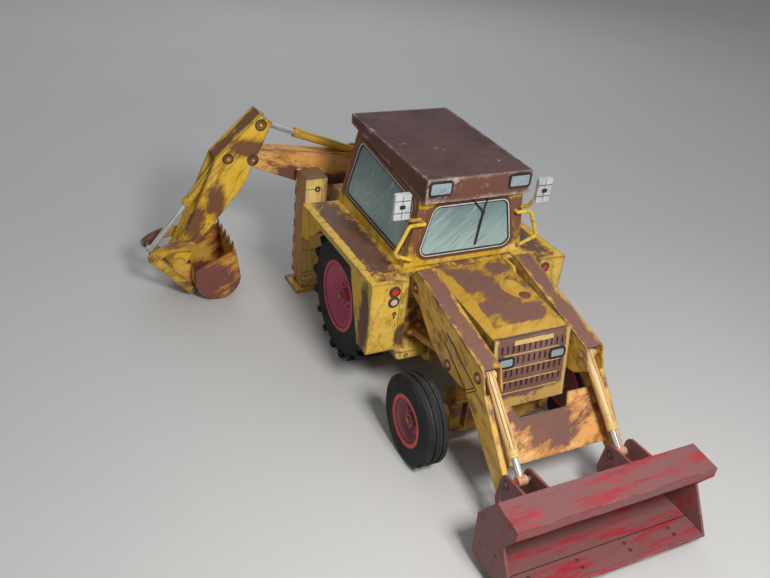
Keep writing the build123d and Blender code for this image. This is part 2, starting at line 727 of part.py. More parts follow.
def loader_arm():
    """One arm: two side plates under a top strip, and the slim limb down to the bucket."""
    arm = side_plate(arm_outline(), ARM_IN, ARM_OUT)
    rear, crown, front = arm_outline()[1:4]
    depth = rear[1] - LIFT_PIN_Z
    hollow = [
        (rear[0] - CARD, rear[1] - depth - CARD), (rear[0] - CARD, rear[1] - CARD),
        (crown[0], crown[1] - CARD), (front[0] - depth, front[1] - CARD),
        (front[0] - depth, front[1] - 2 * depth), (rear[0] - CARD, front[1] - 2 * depth),
    ]
    arm -= side_plate(hollow, ARM_IN + CARD, ARM_OUT - CARD)
    arm += side_plate(limb_outline(), ARM_OUT - LIMB_WIDTH, ARM_OUT)
    arm += cross_pin(*BUCKET_PIVOT, LIMB_END, ARM_OUT - LIMB_WIDTH, ARM_OUT)
    arm -= cross_pin(*PIVOT, PIN_RADIUS + PIN_PLAY, 0, 2 * ARM_OUT)
    arm -= cross_pin(*BUCKET_PIVOT, PIN_RADIUS + PIN_PLAY, 0, 2 * ARM_OUT)
    arm -= cross_pin(*LIFT_PIN, PIN_RADIUS, 0, 2 * ARM_OUT)
    arm -= cross_pin(*TILT_PIN, PIN_RADIUS, 0, 2 * ARM_OUT)
    return arm


def arm_pins():
    """The pins that the arms hold: whole ones for the tilt rams, split ones for the lift rods' eyes."""
    pins = cross_pin(*TILT_PIN, PIN_RADIUS, ARM_IN - GAP / 2, ARM_OUT + PIN_PROUD)
    inner = cross_pin(*LIFT_PIN, PIN_RADIUS, ARM_IN - GAP / 2, ARM_IN + CARD)
    outer = cross_pin(*LIFT_PIN, PIN_RADIUS, ARM_OUT - CARD, ARM_OUT + PIN_PROUD)
    return on_both(Compound(children=[pins, inner, outer]))


def cross_plate():
    """The plate between the lower limbs, with a notch in its upper edge."""
    outline = arm_outline()
    front = outline[4]
    knee = outline[6]
    start = ((knee[0] + front[0]) / 2, (knee[1] + front[1]) / 2)
    end = BUCKET_PIVOT
    length = hypot(end[0] - start[0], end[1] - start[1])
    tilt = degrees(atan2(end[1] - start[1], end[0] - start[0]))
    half = ARM_OUT - LIMB_WIDTH
    near = PLATE_NEAR * length
    far = PLATE_FAR * length
    notch = NOTCH_FAR * length
    points = [
        (-half, near), (-NOTCH_HALF - NOTCH_SLANT, near), (-NOTCH_HALF, notch), (NOTCH_HALF, notch),
        (NOTCH_HALF + NOTCH_SLANT, near), (half, near), (half, far), (-half, far),
    ]
    plate = extrude(make_face(Polyline(*points, close=True)), amount=CARD / 2, both=True)
    return Pos(0, *start) * Rot(tilt, 0, 0) * plate


def bucket_outline():
    """The side view of the loader bucket's cheek."""
    lip_low = BUCKET_LIP_Z - BUCKET_LIP_DEPTH
    return [
        (BUCKET_LIP_BACK_Y, BUCKET_LIP_Z), (BUCKET_LIP_FRONT_Y, BUCKET_LIP_Z - 1),
        (BUCKET_LIP_FRONT_Y, lip_low - 1), (BUCKET_LIP_FRONT_Y + 5, BUCKET_KNEE_Z - 1),
        (BUCKET_EDGE_Y, BUCKET_FLOOR), (BUCKET_HEEL_Y - 1, BUCKET_FLOOR), (BUCKET_HEEL_Y, BUCKET_FLOOR + 1),
        (BUCKET_HEEL_Y + 0.8, BUCKET_KNEE_Z),
    ]


def bucket_space():
    """The side view of the room inside the loader bucket, open to the front."""
    wall = BUCKET_WALL
    lip_low = BUCKET_LIP_Z - BUCKET_LIP_DEPTH
    return [
        (BUCKET_LIP_BACK_Y - 1.5, lip_low), (BUCKET_LIP_FRONT_Y, lip_low - 1),
        (BUCKET_EDGE_Y - 10, lip_low - 1), (BUCKET_EDGE_Y - 10, BUCKET_FLOOR + wall),
        (BUCKET_HEEL_Y - 1 - wall, BUCKET_FLOOR + wall), (BUCKET_HEEL_Y - wall, BUCKET_FLOOR + 1 + wall),
        (BUCKET_HEEL_Y + 0.8 - wall, BUCKET_KNEE_Z - wall / 2),
    ]


def strap(start, end, width_start, width_end, x0, x1):
    """A flat link with round ends between two pins."""
    angle = atan2(end[1] - start[1], end[0] - start[0])
    side = (-sin(angle), cos(angle))
    web = [
        (start[0] + width_start * side[0], start[1] + width_start * side[1]),
        (end[0] + width_end * side[0], end[1] + width_end * side[1]),
        (end[0] - width_end * side[0], end[1] - width_end * side[1]),
        (start[0] - width_start * side[0], start[1] - width_start * side[1]),
    ]
    link = side_plate(web, x0, x1)
    link += cross_pin(*start, width_start, x0, x1)
    return link + cross_pin(*end, width_end, x0, x1)


def lug(x0, x1):
    """A rounded lug on the bucket's back, from its foot to the two pins."""
    y, z = BUCKET_PIVOT
    ey, ez = BUCKET_EYE
    foot = [
        (BUCKET_HEEL_Y, z - LUG_END), (y, z - LUG_END), (ey, ez + LUG_END),
        (BUCKET_LIP_BACK_Y + LUG_END, BUCKET_LIP_Z - BUCKET_LIP_DEPTH - BUCKET_WALL),
        (BUCKET_HEEL_Y, BUCKET_KNEE_Z),
    ]
    return side_plate(foot, x0, x1) + strap(BUCKET_PIVOT, BUCKET_EYE, LUG_END, LUG_END, x0, x1)


LUG_OUTER = ARM_OUT + LUG_GAP
LUG_INNER = ARM_IN - LUG_GAP - LUG


def loader_bucket():
    """The bucket's bent shell between two cheeks, with the lug pairs on its back."""
    shell = side_plate(bucket_outline(), -BUCKET_HALF, BUCKET_HALF)
    shell -= side_plate(bucket_space(), -BUCKET_HALF + BUCKET_WALL, BUCKET_HALF - BUCKET_WALL)
    for side in (-1, 1):
        for x in (LUG_INNER, LUG_OUTER):
            shell += lug(side * x, side * (x + LUG))
        end = side * (LUG_OUTER + LUG + PIN_PROUD)
        shell += cross_pin(*BUCKET_PIVOT, PIN_RADIUS, side * LUG_INNER, end)
        shell += cross_pin(*BUCKET_EYE, PIN_RADIUS, side * LUG_INNER, side * (TILT_X - TILT_RADIUS - GAP))
        shell += cross_pin(*BUCKET_EYE, PIN_RADIUS, side * LUG_OUTER, end)
    return shell


# Rear frame and stabilisers
def column():
    """A stabiliser column: a tall hollow post, open below for its leg."""
    post = block(COLUMN_IN, COLUMN_OUT, COLUMN_FRONT, COLUMN_REAR, COLUMN_LOW, COLUMN_TOP)
    post -= block(
        COLUMN_IN + CARD, COLUMN_OUT - CARD, COLUMN_FRONT + CARD, COLUMN_REAR - CARD,
        COLUMN_LOW, COLUMN_TOP - CARD,
    )
    return post


def rear_frame():
    """Two rails between the columns, with the arms that tie them to the body."""
    frame = block(-COLUMN_IN, COLUMN_IN, COLUMN_FRONT, COLUMN_REAR, RAIL_LOW_Z, RAIL_LOW_Z + RAIL_HEIGHT)
    frame += block(-COLUMN_IN, COLUMN_IN, COLUMN_FRONT, COLUMN_REAR, RAIL_TOP_Z, RAIL_TOP_Z + RAIL_HEIGHT)
    for side in (-1, 1):
        frame += block(
            side * (BODY_HALF - 6), side * BODY_HALF, BODY_REAR, COLUMN_FRONT,
            RAIL_LOW_Z, RAIL_TOP_Z + RAIL_HEIGHT,
        )
        frame += block(
            side * (BODY_HALF - 6), side * BODY_HALF, COLUMN_FRONT, COLUMN_FRONT + 3,
            RAIL_LOW_Z, RAIL_TOP_Z + RAIL_HEIGHT,
        )
    return frame


def leg(side):
    """A stabiliser leg inside its column, with the foot pad on the ground."""
    inset = CARD + LEG_PLAY
    lower = block(
        side * (COLUMN_IN + inset), side * (COLUMN_OUT - inset), COLUMN_FRONT + inset, COLUMN_REAR - inset,
        PAD_THICK, COLUMN_TOP / 2,
    )
    pad = block(
        side * (COLUMN_IN - PAD_OVERHANG / 2), side * (COLUMN_OUT + PAD_OVERHANG),
        COLUMN_FRONT - PAD_OVERHANG / 2, COLUMN_REAR + PAD_OVERHANG / 2, 0, PAD_THICK,
    )
    return lower + pad


def carriage():
    """The plate on the rails with the two brackets that hold the slew post's pin."""
    plate = block(
        SLEW_X - CARRIAGE_HALF, SLEW_X + CARRIAGE_HALF, COLUMN_REAR, COLUMN_REAR + CARD,
        POST_LOW - EAR, RAIL_TOP_Z + RAIL_HEIGHT,
    )
    for z0 in (POST_LOW - EAR, POST_TOP):
        plate += block(SLEW_X - POST_RADIUS, SLEW_X + POST_RADIUS, COLUMN_REAR, SLEW_Y, z0, z0 + EAR)
        plate += Pos(SLEW_X, SLEW_Y, z0 + EAR / 2) * Cylinder(POST_RADIUS, EAR)
    pin = Pos(SLEW_X, SLEW_Y, (POST_LOW + POST_TOP) / 2) * Cylinder(AXLE_RADIUS, POST_TOP - POST_LOW + EAR)
    return plate + pin


# Hoe
BOOM_FOOT = (BOOM_FOOT_S, BOOM_FOOT_Z)
BOOM_BASE = (BOOM_BASE_S, BOOM_BASE_Z)
BOOM_EYE = (BOOM_EYE_S, BOOM_EYE_Z)
BOOM_PIN = (BOOM_PIN_S, BOOM_PIN_Z)
DIG_BASE = (DIG_BASE_S, DIG_BASE_Z)
DIG_EYE = (DIG_EYE_S, DIG_EYE_Z)
HOE_RAM_PIN = (HOE_RAM_PIN_S, HOE_RAM_PIN_Z)
LEVER_PIN = (LEVER_PIN_S, LEVER_PIN_Z)
LEVER_END = (LEVER_END_S, LEVER_END_Z)
NOSE = (NOSE_S, NOSE_Z)
LINK_PIN = (LINK_PIN_S, LINK_PIN_Z)
SLEWED = Pos(SLEW_X, SLEW_Y, 0) * Rot(0, 0, SLEW_REST)


def slew_post():
    """The turning post with the two cheeks that carry the boom's foot and its ram."""
    post = Pos(0, 0, (POST_LOW + POST_TOP) / 2) * Cylinder(POST_RADIUS, POST_TOP - POST_LOW - 2 * GAP)
    inner = BOOM_HALF + GAP / 2
    fs, fz = BOOM_FOOT
    bs, bz = BOOM_BASE
    outline = [
        (0, POST_LOW + GAP), (bs, bz - BOOM_FOOT_END), (bs + BOOM_FOOT_END, bz), (fs + BOOM_FOOT_END, fz),
        (fs, fz + BOOM_FOOT_END), (0, POST_TOP - GAP),
    ]
    post += block(-inner - CHEEK, inner + CHEEK, 0, POST_RADIUS / 2, POST_LOW + GAP, POST_TOP - GAP)
    for side in (-1, 1):
        post += side_plate(outline, side * inner, side * (inner + CHEEK))
        post += cross_pin(*BOOM_FOOT, BOOM_FOOT_END, side * inner, side * (inner + CHEEK))
        post += cross_pin(*BOOM_BASE, BOOM_FOOT_END, side * inner, side * (inner + CHEEK))
    post += cross_pin(*BOOM_FOOT, PIN_RADIUS, -inner - CHEEK, inner + CHEEK)
    post += cross_pin(*BOOM_BASE, PIN_RADIUS, -inner - CHEEK, inner + CHEEK)
    return post - Pos(0, 0, POST_LOW) * Cylinder(AXLE_RADIUS + PIN_PLAY, 4 * POST_TOP)


def boom():
    """The boom: deep above its foot, slim at the dipper, with a channel for the dipper's ram."""
    fs, fz = BOOM_FOOT
    ps, pz = BOOM_PIN
    bs, bz = DIG_BASE
    es, ez = BOOM_EYE
    fork = HOE_RADIUS + GAP
    room = HOE_RADIUS + 2 * GAP
    slot = room + ROD_DRIFT
    outline = [
        (fs - BOOM_BACK, fz), (fs - BOOM_BACK, bz), (bs, bz), (ps, pz + BOOM_TIP_END),
        (ps, pz - BOOM_TIP_END), (es + BOOM_BELLY, ez + BOOM_BELLY_RISE), (es - BOOM_EYE_BACK, ez - fork),
        (fs, fz - BOOM_FOOT_END),
    ]
    beam = side_plate(outline, -BOOM_HALF, BOOM_HALF)
    beam += cross_pin(*BOOM_FOOT, BOOM_FOOT_END, -BOOM_HALF, BOOM_HALF)
    beam += cross_pin(*BOOM_PIN, BOOM_TIP_END, -BOOM_HALF, BOOM_HALF)
    beam += cross_pin(*DIG_BASE, DIG_EAR, -BOOM_HALF, BOOM_HALF)
    rise = CHANNEL * (pz + BOOM_TIP_END - bz) / (ps - bs)
    beam -= side_plate(
        [
            (bs - 2 * DIG_EAR, bz - room), (bs + room, bz - room), (bs + CHANNEL, bz + rise),
            (bs + CHANNEL, bz + rise + DIG_EAR), (bs - 2 * DIG_EAR, bz + 2 * DIG_EAR),
        ],
        -fork, fork,
    )
    beam -= side_plate(
        [(es - slot, ez - slot), (es + slot, ez - slot), (es + slot, ez + slot), (es - slot, ez + slot)],
        -fork, fork,
    )
    for side in (-1, 1):
        beam += strap(BOOM_EYE, (es, ez + 2 * fork), fork, 2 * fork, side * fork, side * BOOM_HALF)
        beam += cross_pin(*BOOM_PIN, PIN_RADIUS, side * BOOM_HALF, side * (DIPPER_HALF + PIN_PROUD))
    beam -= cross_pin(*BOOM_FOOT, PIN_RADIUS + PIN_PLAY, -2 * BOOM_HALF, 2 * BOOM_HALF)
    return beam + cross_pin(*DIG_BASE, PIN_RADIUS, -BOOM_HALF, BOOM_HALF)


def dipper():
    """The dipper: two cheeks round the boom's end over a tapered box down to the nose."""
    es, ez = DIG_EYE
    ps, pz = BOOM_PIN
    rs, rz = HOE_RAM_PIN
    ls, lz = LEVER_PIN
    top = (es, ez + HEAD_RIM)
    corner = (es - HEAD_RIM - CARD, ez + CARD)
    seam_in = (ps + HEAD_RIM, pz - HEAD_DROP_IN)
    seam_out = (rs + HEAD_RIM + CARD, rz)
    cheek_in = DIPPER_HALF - 2 * CARD
    head = side_plate([top, corner, seam_in, seam_out], -DIPPER_HALF, DIPPER_HALF)
    run = hypot(seam_out[0] - top[0], seam_out[1] - top[1])
    along = ((seam_out[0] - top[0]) / run, (seam_out[1] - top[1]) / run)
    inset = (CARD * along[1], -CARD * along[0])
    room = [
        (top[0] + inset[0], top[1] + inset[1]), (corner[0] - run, corner[1]),
        (seam_in[0] - run, seam_in[1] - run), (seam_in[0] + run, seam_in[1] - run),
        (seam_out[0] + inset[0] + run * along[0], seam_out[1] + inset[1] + run * along[1]),
    ]
    head -= side_plate(room, -cheek_in, cheek_in)
    tip_in = (ls - NOSE_END, lz)
    tip_out = (ls + 0.7 * NOSE_END, lz + NOSE_END)
    nose_in = (NOSE_S - NOSE_END, NOSE_Z)
    nose_out = (NOSE_S + NOSE_END * 0.8, NOSE_Z + NOSE_END * 0.6)
    for side in (-1, 1):
        head += side_plate(
            [seam_out, seam_in, tip_in, nose_in, nose_out, tip_out], side * cheek_in, side * DIPPER_HALF
        )
    ram = (LEVER_END_S - rs, LEVER_END_Z - rz)
    share = (HOE_RADIUS + 3 * GAP) / hypot(*ram)
    shift = (share * ram[1], -share * ram[0])
    core_a = (rs + shift[0] + 0.1 * ram[0], rz + shift[1] + 0.1 * ram[1])
    core_b = (rs + shift[0] + 0.55 * ram[0], rz + shift[1] + 0.55 * ram[1])
    head += side_plate([core_a, seam_in, tip_in, nose_in, nose_out, core_b], -cheek_in, cheek_in)
    head += cross_pin(*NOSE, NOSE_END, -DIPPER_HALF, DIPPER_HALF)
    head -= cross_pin(*BOOM_PIN, PIN_RADIUS + PIN_PLAY, -2 * DIPPER_HALF, 2 * DIPPER_HALF)
    head -= cross_pin(*NOSE, PIN_RADIUS + PIN_PLAY, -2 * DIPPER_HALF, 2 * DIPPER_HALF)
    for side in (-1, 1):
        head += cross_pin(*LEVER_PIN, PIN_RADIUS, side * BOOM_HALF, side * (LEVER_IN + CHEEK))
        head += cross_pin(*DIG_EYE, PIN_RADIUS, side * cheek_in, side * (DIPPER_HALF + PIN_PROUD))
    return head + cross_pin(*HOE_RAM_PIN, PIN_RADIUS, -DIPPER_HALF - PIN_PROUD, DIPPER_HALF + PIN_PROUD)


def tipping_lever():
    """The pair of bowed levers from the dipper to the bucket ram's rod."""
    middle = ((LEVER_PIN_S + LEVER_END_S) / 2, (LEVER_PIN_Z + LEVER_END_Z) / 2 + LEVER_BOW)
    face = Plane.YZ * trace(ThreePointArc(LEVER_PIN, middle, LEVER_END), line_width=2 * LEVER_WIDTH)
    lever = Pos(LEVER_IN, 0, 0) * extrude(face, amount=CHEEK, dir=(1, 0, 0))
    lever += cross_pin(*LEVER_PIN, LEVER_WIDTH, LEVER_IN, LEVER_IN + CHEEK)
    lever += cross_pin(*LEVER_END, LEVER_WIDTH, LEVER_IN, LEVER_IN + CHEEK)
    lever -= cross_pin(*LEVER_PIN, PIN_RADIUS + PIN_PLAY, 0, 2 * LEVER_IN)
    lever += cross_pin(*LEVER_END, PIN_RADIUS, HOE_EYE_HALF + GAP, LINK_IN + CHEEK + PIN_PROUD)
    return on_both(lever)


def tipping_link():
    """The pair of links from the levers to the bucket's ears."""
    link = strap(LEVER_END, LINK_PIN, LINK_WIDTH, LINK_WIDTH, LINK_IN, LINK_IN + CHEEK)
    link -= cross_pin(*LEVER_END, PIN_RADIUS + PIN_PLAY, 0, 2 * LINK_IN)
    return on_both(link)


def bowl(wall, open_by):
    """The hoe bucket's side view: a round bowl with one straight lip, with its mouth raised by a step."""
    centre = (NOSE_S - BOWL_BACK, NOSE_Z - BOWL_DROP)
    radius = BOWL_RADIUS - wall
    heel = (centre[0] + radius, centre[1])
    low = (centre[0], centre[1] - radius)
    front = (centre[0] - radius, centre[1])
    lip = (LIP_S + wall + open_by * 0.15, centre[1] + LIP_RISE + open_by)
    back = (heel[0] + open_by * 0.15, centre[1] + BACK_RISE + open_by)
    return Plane.YZ * make_face([Polyline(heel, back, lip, front), ThreePointArc(front, low, heel)])


def hoe_bucket():
    """The hoe bucket: a round bowl between two cheeks, with teeth on its lip and ears on its back."""
    half = HOE_BUCKET_HALF
    middle = NOSE_S - BOWL_BACK
    middle_z = NOSE_Z - BOWL_DROP
    shell = Pos(-half, 0, 0) * extrude(bowl(0, 0), amount=2 * half, dir=(1, 0, 0))
    foot = [
        (middle, LINK_PIN_Z - LINK_WIDTH), (LINK_PIN_S, LINK_PIN_Z - LINK_WIDTH), NOSE,
        (middle + BOWL_RADIUS, middle_z + BACK_RISE), (middle, middle_z),
    ]
    for side in (-1, 1):
        shell += side_plate(foot, side * EAR_IN, side * (EAR_IN + CHEEK))
        shell += strap(NOSE, LINK_PIN, NOSE_END - GAP, LINK_WIDTH, side * EAR_IN, side * (EAR_IN + CHEEK))
    inside = extrude(bowl(CARD, 2 * BOWL_RADIUS), amount=2 * (half - CARD), dir=(1, 0, 0))
    shell -= Pos(-half + CARD, 0, 0) * inside
    lip_z = middle_z + LIP_RISE
    pitch = 2 * half / TEETH
    for i in range(TEETH):
        x0 = -half + (i + 0.25) * pitch
        tooth = [
            (LIP_S - CARD / 4, lip_z - TOOTH), (LIP_S + CARD, lip_z - TOOTH), (LIP_S + CARD, lip_z),
            (LIP_S + CARD, lip_z + TOOTH),
        ]
        shell += side_plate(tooth, x0, x0 + pitch / 2)
    for side in (-1, 1):
        shell += cross_pin(*LINK_PIN, PIN_RADIUS, side * EAR_IN, side * (LINK_IN - GAP / 2))
    return shell + cross_pin(*NOSE, PIN_RADIUS, -EAR_IN - CHEEK, EAR_IN + CHEEK)


nodes = {
    "chassis_frame": chassis_frame(),
    "rear_body": rear_body(),
    "hood": hood(),
    "grille": grille(),
    "headlamps": headlamps(),
    "cab_shell": cab_shell(),
    "windscreen": panes(front_opening(PIN_PLAY)),
    "side_windows": panes(side_opening(PIN_PLAY)),
    "rear_window": panes(rear_opening(PIN_PLAY)),
    "roof": roof(),
    "roof_lamps": on_both(roof_lamp()),
    "mirrors": mirrors(),
    "grab_handle": grab_handle(),
    "mudguards": on_both(mudguard()),
    "cab_steps": on_both(cab_step()),
    "red_lamps": guard_lamps(RED_LAMP_DROP),
    "white_lamps": guard_lamps(WHITE_LAMP_DROP),
    "front_axle": front_axle(),
    "rear_axle": cross_pin(0, REAR_RADIUS, AXLE_RADIUS, -REAR_FACE + CARD, REAR_FACE - CARD),
    "loader_towers": loader_tower(),
    "stabiliser_columns": on_both(column()),
    "rear_frame": rear_frame(),
    "slew_carriage": carriage(),
    "stabiliser_leg_right": leg(-1),
    "stabiliser_leg_left": leg(1),
    "knuckle_right": knuckle(-1),
    "knuckle_left": knuckle(1),
    "front_tyre_right": front_tyre(-1),
    "front_tyre_left": front_tyre(1),
    "front_rim_right": rim(-1, FRONT_RIM, FRONT_WIDTH, FRONT_FACE, -WHEELBASE, FRONT_RADIUS, FRONT_DISH),
    "front_rim_left": rim(1, FRONT_RIM, FRONT_WIDTH, FRONT_FACE, -WHEELBASE, FRONT_RADIUS, FRONT_DISH),
    "rear_tyre_right": rear_tyre(-1),
    "rear_tyre_left": rear_tyre(1),
    "rear_rim_right": rim(-1, REAR_RIM, REAR_WIDTH, REAR_FACE, 0, REAR_RADIUS, REAR_DISH),
    "rear_rim_left": rim(1, REAR_RIM, REAR_WIDTH, REAR_FACE, 0, REAR_RADIUS, REAR_DISH),
    "loader_arms": on_both(loader_arm()),
    "loader_arm_pins": arm_pins(),
    "cross_plate": cross_plate(),
    "lift_barrels": on_both(ram_barrel(LIFT_BASE, LIFT_PIN, LIFT_X, LIFT_RADIUS, LIFT_ROD, LIFT_BARREL)),
    "lift_rods": on_both(ram_rod(LIFT_BASE, LIFT_PIN, LIFT_X, LIFT_ROD, LIFT_INNER, LIFT_RADIUS)),
    "tilt_barrels": on_both(ram_barrel(TILT_PIN, BUCKET_EYE, TILT_X, TILT_RADIUS, TILT_ROD, TILT_BARREL)),
    "tilt_rods": on_both(ram_rod(TILT_PIN, BUCKET_EYE, TILT_X, TILT_ROD, TILT_INNER, TILT_RADIUS)),
    "loader_bucket": loader_bucket(),
    "slew_post": SLEWED * slew_post(),
    "boom": SLEWED * boom(),
    "boom_barrel": SLEWED * ram_barrel(BOOM_BASE, BOOM_EYE, 0, HOE_RADIUS, HOE_ROD, BOOM_BARREL),
    "boom_rod": SLEWED * ram_rod(BOOM_BASE, BOOM_EYE, 0, HOE_ROD, BOOM_INNER, HOE_EYE_HALF),
    "dipper": SLEWED * dipper(),
    "dipper_barrel": SLEWED * ram_barrel(DIG_BASE, DIG_EYE, 0, HOE_RADIUS, HOE_ROD, DIG_BARREL),
    "dipper_rod": SLEWED * ram_rod(DIG_BASE, DIG_EYE, 0, HOE_ROD, DIG_INNER, HOE_EYE_HALF),
    "bucket_barrel": SLEWED * ram_barrel(HOE_RAM_PIN, LEVER_END, 0, HOE_RADIUS, HOE_ROD, HOE_RAM_BARREL),
    "bucket_rod": SLEWED * ram_rod(HOE_RAM_PIN, LEVER_END, 0, HOE_ROD, HOE_RAM_INNER, HOE_EYE_HALF),
    "tipping_lever": SLEWED * tipping_lever(),
    "tipping_link": SLEWED * tipping_link(),
    "hoe_bucket": SLEWED * hoe_bucket(),
}

os.makedirs("parts", exist_ok=True)
for name, shape in nodes.items():
    export_step(shape, f"parts/{name}.step")
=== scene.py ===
"""Looks of the card model of a backhoe loader: hand-coloured card, wooden pins and small trim."""
import bmesh
import bpy
from math import cos, pi, radians, sin
from mathutils import Matrix, Vector


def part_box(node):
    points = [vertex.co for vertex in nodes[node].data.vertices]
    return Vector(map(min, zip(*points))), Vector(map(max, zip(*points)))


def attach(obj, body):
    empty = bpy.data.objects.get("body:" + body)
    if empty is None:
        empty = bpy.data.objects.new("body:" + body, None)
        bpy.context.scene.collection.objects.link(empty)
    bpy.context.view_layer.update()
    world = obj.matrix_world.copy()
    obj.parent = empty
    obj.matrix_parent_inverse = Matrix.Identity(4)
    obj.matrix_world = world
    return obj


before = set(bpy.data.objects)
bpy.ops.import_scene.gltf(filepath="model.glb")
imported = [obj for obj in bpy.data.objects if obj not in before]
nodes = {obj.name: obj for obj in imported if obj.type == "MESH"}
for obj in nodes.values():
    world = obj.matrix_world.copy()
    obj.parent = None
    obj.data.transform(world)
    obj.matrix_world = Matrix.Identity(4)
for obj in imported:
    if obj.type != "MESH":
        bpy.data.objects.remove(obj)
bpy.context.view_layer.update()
MM = 0.001
bpy.context.scene.view_settings.view_transform = "Standard"

# The photograph's camera, fitted to the model's corners
CAMERA_TURN = -28.98
CAMERA_TILT = 30.77
CAMERA_ROLL = 6.53
CAMERA_PLACE = (-173.59, -284.99, 223.37)
CAMERA_LENS = 38.18
SENSOR_WIDTH = 36

# Places on the model, in millimetres
SIDES = (-1, 1)
WHEELBASE = 76.0
REAR_HUB = 29.8
FRONT_HUB = 18.5
REAR_FACE, REAR_DISH, REAR_NUT_CIRCLE = 39.7, 5.0, 5.6
FRONT_FACE, FRONT_DISH, FRONT_NUT_CIRCLE = 42.3, 3.5, 4.8
SLEW_X, SLEW_Y = 12.0, 74.2
BOOM_PIN = (70.3, 69.6)
TILT_X, TILT_BASE, TILT_EYE = 22.2, (-95.9, 50.2), (-124.7, 25.2)
LIFT_X, LIFT_BASE, LIFT_EYE = 23.0, (-43.0, 35.0), (-76.2, 42.1)
GRILLE_LOW, GRILLE_TOP = (-93.6, 30.0), (-89.1, 58.9)
HOOD_REAR, HOOD_FRONT = (-39.0, 62.0), (-87.5, 58.9)
CAP_X, CAP_Y = 11.5, -65.7
WIPER_Y, SCREEN_Y = -36.0, -35.5
GUARD_FRONT = -45.0
COLUMN_FRONT, COLUMN_OUT = 54.0, 35.8
ARM_FACE = 27.0
ARM_PIVOT = (-45.5, 58.5)
ARM_CROWN, ARM_FRONT = (-44.5, 66.0), (-98.1, 54.4)
LUG_OUTER_FACE, LUG_INNER_FACE, LUG_INNER_BACK = 28.4, 18.6, 17.6
CUTTING_EDGE_TOP = 5.8
DIPPER_HALF = 6.6
# How deep small pieces reach into what carries them
SINK = -0.1


def mm(x, y, z):
    """A point given in millimetres."""
    return Vector((x, y, z)) * MM


def hoe(s, z, y=0.0):
    """A point of the hoe, s behind its post and y to one side, as it stands slewed to the right."""
    return Vector((SLEW_X - s, SLEW_Y + y, z))


def between(start, end, share):
    """A point part of the way from one point to another."""
    return Vector(start) + share * (Vector(end) - Vector(start))


def srgb(red, green, blue):
    """A paint colour given as it looks on screen, from 0 to 255."""
    linear = []
    for value in (red, green, blue):
        value /= 255
        linear.append(value / 12.92 if value <= 0.04045 else ((value + 0.055) / 1.055) ** 2.4)
    return (*linear, 1.0)


# Camera, light and floor
def camera_axes():
    """The camera's right, up and backward directions."""
    turn, tilt, roll = radians(CAMERA_TURN), radians(CAMERA_TILT), radians(CAMERA_ROLL)
    back = Vector((sin(turn) * cos(tilt), -cos(turn) * cos(tilt), sin(tilt)))
    level = Vector((cos(turn), sin(turn), 0))
    rise = back.cross(level)
    return cos(roll) * level + sin(roll) * rise, cos(roll) * rise - sin(roll) * level, back


def add_camera():
    """The camera at the photograph's viewpoint."""
    camera = bpy.data.objects.new("camera", bpy.data.cameras.new("camera"))
    bpy.context.scene.collection.objects.link(camera)
    camera.data.sensor_fit = "HORIZONTAL"
    camera.data.sensor_width = SENSOR_WIDTH
    camera.data.lens = CAMERA_LENS
    camera.data.clip_start = 0.01
    turned_to = Matrix(camera_axes()).transposed().to_4x4()
    camera.matrix_world = Matrix.Translation(mm(*CAMERA_PLACE)) @ turned_to
    bpy.context.scene.camera = camera


def add_area(name, place, target, size, power, colour):
    """A soft square light that points at a target."""
    light = bpy.data.objects.new(name, bpy.data.lights.new(name, "AREA"))
    bpy.context.scene.collection.objects.link(light)
    light.data.size = size
    light.data.energy = power
    light.data.color = colour
    light.location = place
    light.rotation_euler = (Vector(target) - Vector(place)).to_track_quat("-Z", "Y").to_euler()


def add_studio():
    """A key light to the right of the camera, soft light from above and behind, and the pale floor."""
    right, up, back = camera_axes()
    eye = mm(*CAMERA_PLACE)
    middle = mm(-10, -50, 40)
    add_area("key", eye + 0.13 * right + 0.07 * up, middle, 0.08, 1.3, (1.0, 0.97, 0.93))
    add_area("fill", mm(0, -100, 1500), middle, 2.0, 2.9, (0.95, 0.97, 1.0))
    add_area("back", mm(160, 620, 520), middle, 0.6, 1.3, (0.97, 0.98, 1.0))
    world = bpy.data.worlds.new("studio")
    bpy.context.scene.world = world
    world.use_nodes = True
    world.node_tree.nodes["Background"].inputs["Color"].default_value = (0.92, 0.95, 1.0, 1.0)
    world.node_tree.nodes["Background"].inputs["Strength"].default_value = 0.27
    mesh = bpy.data.meshes.new("floor")
    reach = 4.0
    corners = [(-reach, -reach, 0), (reach, -reach, 0), (reach, reach, 0), (-reach, reach, 0)]
    mesh.from_pydata(corners, [], [(0, 1, 2, 3)])
    floor = bpy.data.objects.new("floor", mesh)
    bpy.context.scene.collection.objects.link(floor)
    paint = Paint("floor_paper")
    paint.colour(paint.mix(paint.noise(9, 3, 0.5), srgb(189, 189, 188), srgb(196, 196, 195)))
    paint.surface(0.85, 0.2)
    mesh.materials.append(paint.material)


